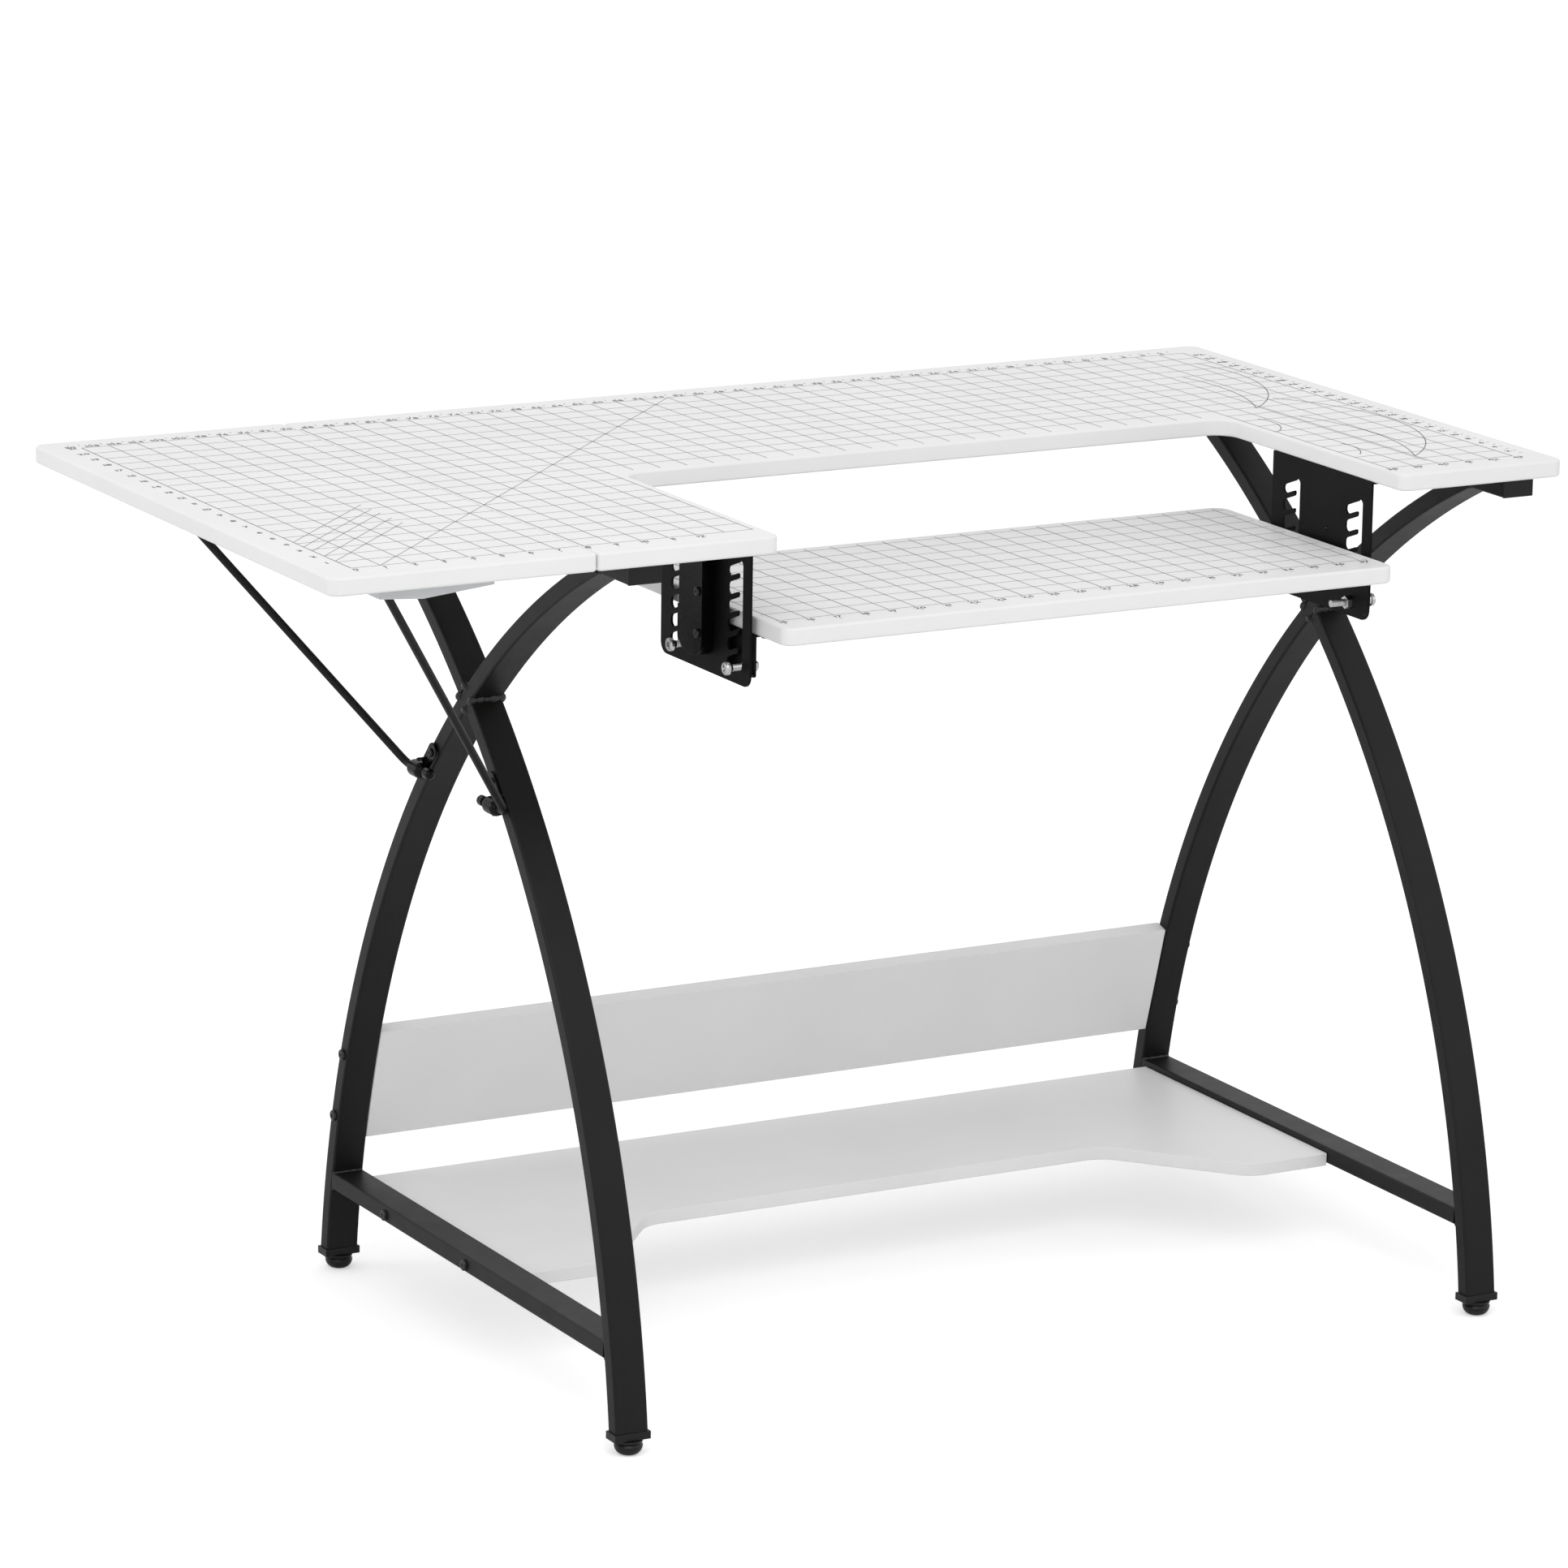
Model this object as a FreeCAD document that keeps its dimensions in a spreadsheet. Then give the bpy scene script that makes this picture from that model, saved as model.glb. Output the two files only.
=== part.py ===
# Sewing machine table: a white board top with a drop leaf at its left end, a
# machine platform that hooks into toothed brackets at six heights, and two end
# frames of crossed arc tubes that are tied by stretchers, a shelf and a back panel.
# Millimetres. X runs along the table, the front edge faces -Y, Z is up and the
# floor under the middle of the table is the origin.

import FreeCAD
import Part
import Sketcher
import math
import os

os.makedirs("parts", exist_ok=True)
doc = FreeCAD.newDocument("sewing_table")

sizeRows = [
    # boards
    ("table_length", 1156),
    ("table_depth", 597),
    ("table_height", 762),
    ("board_thick", 15),
    ("board_corner", 10),
    ("seam_corner", 4),
    ("leaf_width", 232),
    ("seam_gap", 1),
    ("arm_width", 164),
    ("opening_depth", 280),
    ("opening_round", 20),
    ("platform_gap", 5),
    # end frames of rectangular tube
    ("frame_inset", 43.5),
    ("tube_wide", 30),
    ("tube_deep", 15),
    ("tube_wall", 1.5),
    ("tube_overrun", 40),
    ("leg_bend", 897.5),
    ("leg_end", 17),
    ("foot_inset", 19.1),
    ("top_inset", 73.9),
    ("weld_gap", 0.1),
    ("rail_inset", 4),
    ("cap_flange", 2),
    ("cap_plug", 12),
    ("plug_fit", 0.15),
    ("stretcher_under", 78.5),
    # feet
    ("ferrule_wide", 33),
    ("ferrule_deep", 17),
    ("ferrule_thick", 4),
    ("ferrule_rise", 20),
    ("glide_radius", 12),
    ("glide_dome", 8),
    ("glide_groove", 1.5),
    ("glide_lift", 0.1),
    ("stem_radius", 3),
    ("stem_rise", 18),
    ("running_fit", 0.05),
    # shelf and back panel
    ("shelf_thick", 12),
    ("shelf_drop", 2),
    ("shelf_rear_inset", 45),
    ("shelf_ear_front", 240),
    ("shelf_middle_front", 348),
    ("shelf_ear_long", 56),
    ("shelf_recess_inset", 172),
    ("shelf_round", 10),
    ("shelf_screw_front", 294),
    ("shelf_screw_rear", 452),
    ("panel_thick", 15),
    ("panel_tall", 108),
    ("panel_height", 178),
    ("panel_bolt_pitch", 62.6),
    # platform height gear
    ("slot_pitch", 15.5),
    ("slot_reach", 18),
    ("slot_fall", 6.55),
    ("lane_half", 4),
    ("lane_front", 64),
    ("lane_pitch", 98),
    ("bracket_front", 47),
    ("bracket_long", 155),
    ("bracket_tall", 121),
    ("bracket_thick", 2),
    ("bracket_round", 10),
    ("bracket_flange", 22),
    ("bracket_screw_inset", 15),
    ("block_front", 108),
    ("block_long", 40),
    ("block_thick", 12),
    ("block_tall", 105),
    ("block_gap", 2),
    ("block_round", 15),
    ("block_screw_inset", 7),
    ("block_screw_high", 52),
    ("block_screw_low", 87),
    ("carrier_front", 36),
    ("carrier_long", 150),
    ("carrier_tall", 37.5),
    ("carrier_thick", 2.5),
    ("carrier_flange", 25),
    ("carrier_round", 12),
    ("carrier_screw_inset", 20),
    ("pin_radius", 3),
    ("pin_sink", 106),
    ("pin_reach", 17),
    ("pin_head_radius", 6),
    ("pin_head_thick", 4.5),
    ("pin_collar_radius", 5),
    ("pin_collar_thick", 2.5),
    ("pin_tail", 2),
    ("nut_radius", 5.8),
    ("nut_thick", 5),
    # drop leaf hinges
    ("hinge_drop", 3),
    ("hinge_inset", 118.5),
    ("hinge_long", 60),
    ("hinge_reach", 25),
    ("hinge_thick", 1.5),
    ("hinge_pin_radius", 1.5),
    ("knuckle_radius", 2.8),
    ("knuckle_gap", 0.4),
    ("hinge_screw_out", 15),
    ("hinge_screw_pitch", 21),
    # bail that holds the leaf up
    ("bail_radius", 3.5),
    ("bail_bend", 14),
    ("bail_stand", 8),
    ("bail_under_crossing", 75.36),
    ("bail_end_in", 23.7),
    ("bail_foot_out", 20.3),
    ("bail_bar_short", 74.5),
    ("bail_bar_inset", 75),
    ("bar_clear", 0.3),
    ("bail_cap_radius", 4.6),
    ("bail_cap_long", 10),
    ("bail_cap_wall", 2),
    ("sleeve_radius", 7),
    ("sleeve_long", 20),
    ("tab_thick", 3),
    ("tab_wide", 14),
    ("tab_long", 32),
    ("tab_screw_out", 22),
    # leaf catches
    ("catch_inset", 50),
    ("catch_long", 100),
    ("catch_front", 18),
    ("catch_wide", 107),
    ("catch_base", 2),
    ("nose_wide", 52),
    ("nose_tip", 9.3),
    ("nose_crown", 12),
    ("nose_tail", 6),
    ("nose_crown_out", 38),
    ("jaw_wide", 20),
    ("jaw_wall", 4),
    ("jaw_lip", 3),
    ("jaw_lip_short", 0.5),
    # fasteners
    ("screw_radius", 1.8),
    ("screw_head", 3.8),
    ("screw_head_thick", 2.2),
    ("screw_grip", 10),
    ("bolt_radius", 2.5),
    ("bolt_head", 5),
    ("bolt_head_thick", 2.8),
    ("bolt_grip", 22),
    ("sunk_radius", 1.4),
    ("sunk_head", 2.9),
    ("sunk_depth", 1.3),
    ("screw_fit", 0.1),
    ("tip_gap", 0.5),
    ("cut_overrun", 1),
]

countRows = [
    ("slots", 6),
    ("knuckles", 5),
]

placeRows = [
    # boards
    ("front", "-sizes.table_depth / 2"),
    ("rear", "sizes.table_depth / 2"),
    ("leaf_left", "-sizes.table_length / 2"),
    ("leaf_right", "leaf_left + sizes.leaf_width"),
    ("main_left", "leaf_right + sizes.seam_gap"),
    ("main_right", "sizes.table_length / 2"),
    ("middle", "(main_left + main_right) / 2"),
    ("opening_half", "(main_right - main_left) / 2 - sizes.arm_width"),
    ("opening_left", "middle - opening_half"),
    ("opening_right", "middle + opening_half"),
    ("opening_rear", "front + sizes.opening_depth"),
    ("board_under", "sizes.table_height - sizes.board_thick"),
    ("travel", "sizes.slot_pitch * (counts.slots - 1)"),
    ("platform_half", "opening_half - sizes.platform_gap"),
    ("platform_left", "middle - platform_half"),
    ("platform_right", "middle + platform_half"),
    ("platform_rear", "opening_rear - sizes.platform_gap"),
    ("platform_round", "sizes.opening_round - sizes.platform_gap"),
    ("platform_under", "board_under - travel"),
    # end frames: each leg is an arc through its foot and its top
    ("tube_half", "sizes.tube_wide / 2"),
    ("left_tube", "main_left + sizes.frame_inset"),
    ("right_tube", "main_right - sizes.frame_inset"),
    ("rail_under", "board_under - sizes.tube_deep"),
    ("foot_across", "rear - sizes.foot_inset"),
    ("top_across", "sizes.top_inset - rear"),
    ("leg_rise", "rail_under - sizes.leg_end"),
    ("leg_way", "foot_across - top_across"),
    ("chord", "sqrt(leg_way ^ 2 + leg_rise ^ 2)"),
    ("arrow", "sqrt(sizes.leg_bend ^ 2 - chord ^ 2 / 4)"),
    ("rear_leg_centre", "(foot_across + top_across) / 2 - arrow * leg_rise / chord"),
    ("front_leg_centre", "-rear_leg_centre"),
    ("leg_centre_up", "(rail_under + sizes.leg_end) / 2 - arrow * leg_way / chord"),
    ("crossing_up", "leg_centre_up + sqrt(sizes.leg_bend ^ 2 - rear_leg_centre ^ 2)"),
    ("arc_outer", "sizes.leg_bend + sizes.tube_deep / 2"),
    ("arc_inner", "sizes.leg_bend - sizes.tube_deep / 2"),
    ("hollow_outer", "arc_outer - sizes.tube_wall"),
    ("hollow_inner", "arc_inner + sizes.tube_wall"),
    ("plug_outer", "hollow_outer - sizes.plug_fit"),
    ("plug_inner", "hollow_inner + sizes.plug_fit"),
    ("weld_outer", "arc_outer + sizes.weld_gap"),
    ("weld_inner", "arc_inner - sizes.weld_gap"),
    ("hollow_bottom", "sizes.leg_end - sizes.cut_overrun"),
    ("hollow_top", "rail_under + sizes.cut_overrun"),
    ("bay_left", "left_tube + tube_half"),
    ("bay_right", "right_tube - tube_half"),
    ("bay_span", "bay_right - bay_left"),
    ("hollow_wide", "sizes.tube_wide - sizes.tube_wall * 2"),
    ("hollow_deep", "sizes.tube_deep - sizes.tube_wall * 2"),
    ("rail_half", "rear - sizes.rail_inset - sizes.cap_flange"),
    ("glide_top", "sizes.leg_end - sizes.ferrule_thick - sizes.glide_lift"),
    ("groove_low", "glide_top - sizes.glide_groove * 3"),
    ("groove_mid", "glide_top - sizes.glide_groove * 2"),
    ("groove_high", "glide_top - sizes.glide_groove"),
    ("glide_waist", "sizes.glide_radius - sizes.glide_groove"),
    ("stem_top", "glide_top + sizes.stem_rise"),
    # shelf
    ("shelf_under", "sizes.stretcher_under - sizes.shelf_drop"),
    ("shelf_rear", "rear - sizes.shelf_rear_inset"),
    ("shelf_ear", "front + sizes.shelf_ear_front"),
    ("shelf_middle", "front + sizes.shelf_middle_front"),
    ("ear_left", "bay_left + sizes.shelf_ear_long"),
    ("ear_right", "bay_right - sizes.shelf_ear_long"),
    ("recess_left", "bay_left + sizes.shelf_recess_inset"),
    ("recess_right", "bay_right - sizes.shelf_recess_inset"),
    ("shelf_screw_up", "shelf_under + sizes.shelf_thick / 2"),
    ("shelf_grip", "sizes.tube_wide + sizes.bolt_grip"),
    # back panel, which leans with the rear legs
    ("lean_share", "(sizes.panel_height - leg_centre_up) / sizes.leg_bend"),
    ("stand_share", "sqrt(1 - lean_share ^ 2)"),
    ("panel_across", "rear_leg_centre + sizes.leg_bend * stand_share"),
    ("panel_step_across", "sizes.panel_bolt_pitch / 2 * lean_share"),
    ("panel_step_up", "sizes.panel_bolt_pitch / 2 * stand_share"),
    # platform height gear: distances out from the middle of the opening
    ("bracket_out", "opening_half + sizes.bracket_thick"),
    ("bracket_back", "sizes.bracket_front + sizes.bracket_long"),
    ("bracket_low", "-sizes.bracket_tall"),
    ("flange_low", "-sizes.bracket_thick"),
    ("flange_out", "sizes.bracket_thick + sizes.bracket_flange"),
    ("lane_rear", "sizes.lane_front + sizes.lane_pitch"),
    ("carrier_back", "sizes.carrier_front + sizes.carrier_long"),
    ("carrier_high", "-travel"),
    ("carrier_low", "-travel - sizes.carrier_tall"),
    ("pin_down", "-sizes.pin_sink"),
    ("pin_height", "board_under - sizes.pin_sink"),
    ("lane_low", "pin_down + sizes.cut_overrun / 2"),
    ("lane_high", "pin_down + travel + sizes.slot_fall"),
    ("seat_up", "pin_down - sizes.cut_overrun"),
    ("mouth_up", "seat_up + sizes.slot_fall"),
    ("front_seat", "sizes.lane_front + sizes.slot_reach"),
    ("rear_seat", "lane_rear + sizes.slot_reach"),
    ("block_out", "bracket_out + sizes.block_thick"),
    ("block_back", "sizes.block_front + sizes.block_long"),
    ("block_high", "-sizes.block_gap"),
    ("block_low", "-sizes.block_gap - sizes.block_tall"),
    ("pin_length", "sizes.pin_tail + sizes.nut_thick + sizes.carrier_thick + sizes.pin_reach"),
    ("pin_shoulder", "platform_half + sizes.pin_reach"),
    # drop leaf hinge
    ("hinge_line", "(leaf_right + main_left) / 2"),
    ("hinge_along", "rear - sizes.hinge_inset"),
    ("hinge_height", "board_under - sizes.hinge_drop"),
    ("knuckle_step", "sizes.hinge_long / counts.knuckles"),
    ("knuckle_long", "knuckle_step - sizes.knuckle_gap"),
    ("plate_start", "sizes.knuckle_radius + sizes.knuckle_gap"),
    ("plate_wide", "sizes.hinge_reach - plate_start"),
    # bail
    ("pivot_across", "bay_left - sizes.tube_wide - sizes.bail_stand"),
    ("pivot_up", "crossing_up - sizes.bail_under_crossing"),
    ("bar_along", "leaf_left + sizes.bail_bar_inset"),
    ("bar_height", "board_under - sizes.catch_base - sizes.bar_clear - sizes.bail_radius"),
    ("bail_along", "bar_along - pivot_across"),
    ("bail_up", "bar_height - pivot_up"),
    ("bail_leg", "sqrt(bail_along ^ 2 + bail_up ^ 2)"),
    ("bail_lean", "atan(-bail_along / bail_up)"),
    ("bail_bore", "sizes.bail_radius + sizes.running_fit"),
    ("clamp_lean_share", "(pivot_up - leg_centre_up) / sizes.leg_bend"),
    ("clamp_stand_share", "sqrt(1 - clamp_lean_share ^ 2)"),
    ("clamp_lean", "asin(clamp_lean_share)"),
    ("clamp_across", "rear_leg_centre + sizes.leg_bend * clamp_stand_share"),
    ("bail_end", "clamp_across - sizes.bail_end_in"),
    ("bail_foot", "clamp_across + sizes.bail_foot_out"),
    ("bail_bar", "rear - sizes.bail_bar_short"),
    ("bail_end_far", "-bail_end"),
    ("bail_foot_far", "-bail_foot"),
    ("bail_bar_far", "-bail_bar"),
    ("tab_screw_across", "clamp_across - sizes.tab_screw_out * clamp_lean_share"),
    ("tab_screw_up", "pivot_up + sizes.tab_screw_out * clamp_stand_share"),
    # leaf catch, measured from its outer end and the board above it
    ("catch_left", "leaf_left + sizes.catch_inset"),
    ("catch_under", "-sizes.catch_base"),
    ("nose_tip_down", "-sizes.nose_tip"),
    ("nose_crown_down", "-sizes.nose_crown"),
    ("nose_tail_down", "-sizes.nose_tail"),
    ("bar_out", "sizes.bail_bar_inset - sizes.catch_inset"),
    ("jaw_inner", "bar_out + sizes.bail_radius + sizes.bar_clear"),
    ("jaw_outer", "jaw_inner + sizes.jaw_wall"),
    ("jaw_lip_end", "bar_out + sizes.jaw_lip_short"),
    ("jaw_lip_top", "-sizes.catch_base - sizes.bar_clear * 2 - sizes.bail_radius * 2"),
    ("jaw_low", "jaw_lip_top - sizes.jaw_lip"),
    ("catch_back", "sizes.catch_front + sizes.catch_wide"),
    ("jaw_front", "catch_back - sizes.jaw_wide"),
]


def makeSheet(name, rows, sign):
    sheet = doc.addObject("Spreadsheet::Sheet", name)
    for line, (alias, value) in enumerate(rows, 1):
        sheet.set("A%d" % line, alias)
        sheet.set("B%d" % line, sign + str(value))
        sheet.setAlias("B%d" % line, alias)
    return sheet


makeSheet("sizes", sizeRows, "")
makeSheet("counts", countRows, "")
makeSheet("places", placeRows, "=")
doc.recompute()


def numberOf(name):
    sheet, alias = name.split(".")
    return float(getattr(doc.getObject(sheet), alias))


def bind(item, **formulas):
    for field, formula in formulas.items():
        item.setExpression(field.replace("__", "."), formula)


def put(item, across, along, up):
    bind(item, Placement__Base__x=across, Placement__Base__y=along, Placement__Base__z=up)
    return item


# Primitives

def box(name, wide, deep, tall, across, along, up):
    made = doc.addObject("Part::Box", name)
    bind(made, Length=wide, Width=deep, Height=tall)
    return put(made, across, along, up)


axes = {
    "+x": FreeCAD.Vector(1, 0, 0),
    "-x": FreeCAD.Vector(-1, 0, 0),
    "+y": FreeCAD.Vector(0, 1, 0),
    "-y": FreeCAD.Vector(0, -1, 0),
    "+z": FreeCAD.Vector(0, 0, 1),
}


def face(made, way):
    made.Placement = FreeCAD.Placement(FreeCAD.Vector(), FreeCAD.Rotation(axes["+z"], axes[way]))


def rod(name, radius, length, across, along, up, way):
    made = doc.addObject("Part::Cylinder", name)
    face(made, way)
    bind(made, Radius=radius, Height=length)
    return put(made, across, along, up)


def cone(name, base, tip, length, across, along, up, way):
    made = doc.addObject("Part::Cone", name)
    face(made, way)
    bind(made, Radius1=base, Radius2=tip, Height=length)
    return put(made, across, along, up)


def group(name, items):
    made = doc.addObject("Part::Compound", name)
    made.Links = items
    return made


def fuse(name, items):
    made = doc.addObject("Part::MultiFuse", name)
    made.Shapes = items
    return made


def cut(name, base, tools):
    made = doc.addObject("Part::Cut", name)
    made.Base = base
    made.Tool = tools[0] if len(tools) == 1 else group(name + "_tools", tools)
    return made


def common(name, base, tool):
    made = doc.addObject("Part::Common", name)
    made.Base = base
    made.Tool = tool
    return made


# Sketched bodies

def newBody(name):
    return doc.addObject("PartDesign::Body", name)


def newSketch(body, name, role):
    sketch = body.newObject("Sketcher::SketchObject", name)
    plane = [item for item in body.Origin.OriginFeatures if item.Role == role][0]
    sketch.AttachmentSupport = [(plane, "")]
    sketch.MapMode = "FlatFace"
    return sketch


def hold(sketch, edge, point, across, up):
    for kind, name, axis in (("DistanceX", across, -2), ("DistanceY", up, -1)):
        if name is None:
            sketch.addConstraint(Sketcher.Constraint("PointOnObject", edge, point, axis))
        else:
            value = numberOf(name)
            index = sketch.addConstraint(Sketcher.Constraint(kind, -1, 1, edge, point, value))
            sketch.setExpression("Constraints[%d]" % index, name)


def radiusIs(sketch, edge, name):
    index = sketch.addConstraint(Sketcher.Constraint("Radius", edge, numberOf(name)))
    sketch.setExpression("Constraints[%d]" % index, name)


def arcEdge(centre, radius, start, end):
    circle = Part.Circle(centre, axes["+z"], radius)
    return Part.ArcOfCircle(circle, start, end)


def outline(sketch, corners, closed=True):
    spots = []
    for corner in corners:
        spots.append(FreeCAD.Vector(*[numberOf(name) if name else 0 for name in corner[:2]]))
    count = len(corners)
    legs = count if closed else count - 1
    ways = [(spots[(i + 1) % count] - spots[i]).normalize() for i in range(legs)]
    trims = [0.0] * count
    turns = [0.0] * count
    for i, corner in enumerate(corners):
        if len(corner) == 3:
            before, after = ways[i - 1], ways[i]
            turns[i] = math.atan2(before.cross(after).z, before.dot(after))
            trims[i] = numberOf(corner[2]) * math.tan(abs(turns[i]) / 2)
    lines = []
    for i in range(legs):
        start = spots[i] + ways[i] * trims[i]
        end = spots[(i + 1) % count] - ways[i] * trims[(i + 1) % count]
        lines.append(sketch.addGeometry(Part.LineSegment(start, end), False))
    for i, corner in enumerate(corners):
        opening = not closed and i == 0
        closing = not closed and i == count - 1
        if opening or closing:
            hold(sketch, lines[0 if opening else -1], 1 if opening else 2, corner[0], corner[1])
            continue
        before, after = lines[i - 1], lines[i]
        if len(corner) == 2:
            sketch.addConstraint(Sketcher.Constraint("Coincident", before, 2, after, 1))
            hold(sketch, after, 1, corner[0], corner[1])
            continue
        radius = numberOf(corner[2])
        side = 1 if turns[i] > 0 else -1
        normal = FreeCAD.Vector(-ways[i].y, ways[i].x, 0) * side
        centre = spots[i] + ways[i] * trims[i] + normal * radius
        enter = spots[i] - ways[i - 1] * trims[i] - centre
        leave = spots[i] + ways[i] * trims[i] - centre
        ends = [math.atan2(enter.y, enter.x), math.atan2(leave.y, leave.x)]
        if side < 0:
            ends.reverse()
        if ends[1] < ends[0]:
            ends[1] += 2 * math.pi
        arc = sketch.addGeometry(arcEdge(centre, radius, ends[0], ends[1]), False)
        first, second = (1, 2) if side > 0 else (2, 1)
        sketch.addConstraint(Sketcher.Constraint("Tangent", before, 2, arc, first))
        sketch.addConstraint(Sketcher.Constraint("Tangent", arc, second, after, 1))
        radiusIs(sketch, arc, corner[2])
        point = sketch.addGeometry(Part.Point(spots[i]), True)
        hold(sketch, point, 1, corner[0], corner[1])
        sketch.addConstraint(Sketcher.Constraint("PointOnObject", point, 1, before))
        sketch.addConstraint(Sketcher.Constraint("PointOnObject", point, 1, after))


def longHole(sketch, first, second, half):
    ends = [FreeCAD.Vector(*[numberOf(name) for name in spot]) for spot in (first, second)]
    radius = numberOf(half)
    way = math.atan2(ends[1].y - ends[0].y, ends[1].x - ends[0].x)
    aside = FreeCAD.Vector(math.sin(way), -math.cos(way), 0) * radius
    quarter = math.pi / 2
    start = sketch.addGeometry(arcEdge(ends[0], radius, way + quarter, way + 3 * quarter), False)
    finish = sketch.addGeometry(arcEdge(ends[1], radius, way - quarter, way + quarter), False)
    there = sketch.addGeometry(Part.LineSegment(ends[0] + aside, ends[1] + aside), False)
    back = sketch.addGeometry(Part.LineSegment(ends[1] - aside, ends[0] - aside), False)
    for one, other in ((start, there), (there, finish), (finish, back), (back, start)):
        sketch.addConstraint(Sketcher.Constraint("Tangent", one, 2, other, 1))
    sketch.addConstraint(Sketcher.Constraint("Equal", start, finish))
    radiusIs(sketch, start, half)
    hold(sketch, start, 3, first[0], first[1])
    hold(sketch, finish, 3, second[0], second[1])


def pad(body, name, sketch, length, symmetric=False, backwards=False):
    made = body.newObject("PartDesign::Pad", name)
    made.Profile = sketch
    made.SideType = "Symmetric" if symmetric else "One side"
    made.Reversed = backwards
    bind(made, Length=length)
    return made


def pocketThrough(body, name, sketch, length):
    made = body.newObject("PartDesign::Pocket", name)
    made.Profile = sketch
    made.SideType = "Symmetric"
    bind(made, Length=length)
    return made


def board(name, corners, thick, up):
    body = newBody(name)
    sketch = newSketch(body, name + "_outline", "XY_Plane")
    outline(sketch, corners)
    pad(body, name + "_board", sketch, thick)
    bind(body, Placement__Base__z=up)
    return body


# Fasteners: each has a head on its seat, a shank and the bore that takes it

opposite = {"+x": "-x", "-x": "+x", "+z": "-z"}
axes["-z"] = FreeCAD.Vector(0, 0, -1)
screws = {}
bores = {}


def screw(kind, radius, head, thick, length, across, along, up, way):
    made = screws.setdefault(kind, [])
    name = "%s_%d" % (kind, len(made) + 1)
    shank = rod(name + "_shank", radius, length, across, along, up, way)
    top = rod(name + "_head", head, thick, across, along, up, opposite[way])
    made.append(fuse(name, [shank, top]))
    bore = rod(
        name + "_bore",
        radius + " + sizes.screw_fit",
        "%s + sizes.tip_gap" % length,
        across, along, up, way,
    )
    bores.setdefault(kind, []).append(bore)


def woodScrew(kind, through, across, along, up, way="+z"):
    length = "%s + sizes.screw_grip" % through
    sizesOf = ("sizes.screw_radius", "sizes.screw_head", "sizes.screw_head_thick")
    screw(kind, *sizesOf, length, across, along, up, way)


def frameBolt(kind, length, across, along, up, way):
    sizesOf = ("sizes.bolt_radius", "sizes.bolt_head", "sizes.bolt_head_thick")
    screw(kind, *sizesOf, length, across, along, up, way)


def sunkScrew(kind, across, along):
    made = screws.setdefault(kind, [])
    name = "%s_%d" % (kind, len(made) + 1)
    up = "places.board_under - sizes.hinge_thick"
    length = "sizes.hinge_thick + sizes.screw_grip"
    shank = rod(name + "_shank", "sizes.sunk_radius", length, across, along, up, "+z")
    top = cone(
        name + "_head", "sizes.sunk_head", "sizes.sunk_radius", "sizes.sunk_depth",
        across, along, up, "+z",
    )
    made.append(fuse(name, [shank, top]))
    wider = " + sizes.screw_fit"
    bore = rod(
        name + "_bore", "sizes.sunk_radius" + wider, length + " + sizes.tip_gap",
        across, along, up, "+z",
    )
    sink = cone(
        name + "_sink", "sizes.sunk_head" + wider, "sizes.sunk_radius" + wider,
        "sizes.sunk_depth" + wider, across, along, up, "+z",
    )
    bores.setdefault(kind, []).extend([bore, sink])


# Where the fasteners are

sides = (
    ("left", "-", "places.left_tube", "+x", "-x"),
    ("right", "+", "places.right_tube", "-x", "+x"),
)

for side, sign, tube, inward, outward in sides:
    outerFace = "%s %s places.tube_half" % (tube, sign)
    for along in ("-places.rail_half * 0.9", "-places.rail_half / 3",
                  "places.rail_half / 3", "places.rail_half * 0.9"):
        woodScrew("rail_screws", "sizes.tube_deep", tube, along, "places.rail_under")
    for along in ("sizes.shelf_screw_front", "sizes.shelf_screw_rear"):
        frameBolt(
            side + "_shelf_screws", "places.shelf_grip",
            outerFace, "places.front + " + along, "places.shelf_screw_up", inward,
        )
    for step in ("-", "+"):
        back = "+" if step == "-" else "-"
        frameBolt(
            side + "_panel_bolts", "places.shelf_grip", outerFace,
            "places.panel_across %s places.panel_step_across" % back,
            "sizes.panel_height %s places.panel_step_up" % step, inward,
        )
    out = "places.middle %s " % sign
    for along in ("sizes.bracket_front + sizes.bracket_screw_inset",
                  "places.bracket_back - sizes.bracket_screw_inset"):
        woodScrew(
            "bracket_screws", "sizes.bracket_thick",
            out + "(places.bracket_out + sizes.bracket_flange / 2)",
            "places.front + " + along, "places.board_under - sizes.bracket_thick",
        )
    for drop in ("sizes.block_screw_high", "sizes.block_screw_low"):
        screw(
            side + "_block_screws", "sizes.screw_radius", "sizes.screw_head",
            "sizes.screw_head_thick", "sizes.block_thick + sizes.bracket_thick + sizes.tip_gap",
            out + "places.block_out",
            "places.front + sizes.block_front + sizes.block_screw_inset",
            "places.board_under - " + drop, inward,
        )
    for along in ("sizes.carrier_screw_inset", "sizes.carrier_long / 2",
                  "sizes.carrier_long - sizes.carrier_screw_inset"):
        woodScrew(
            "carrier_screws", "sizes.carrier_thick",
            out + "(places.platform_half - sizes.carrier_flange / 2)",
            "places.front + sizes.carrier_front + " + along,
            "places.platform_under - sizes.carrier_thick",
        )

for end in ("-", ""):
    for step in ("- sizes.hinge_screw_pitch", "", "+ sizes.hinge_screw_pitch"):
        along = "%splaces.hinge_along %s" % (end, step)
        sunkScrew("hinge_fixed_screws", "places.hinge_line + sizes.hinge_screw_out", along)
        sunkScrew("hinge_moving_screws", "places.hinge_line - sizes.hinge_screw_out", along)

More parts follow.
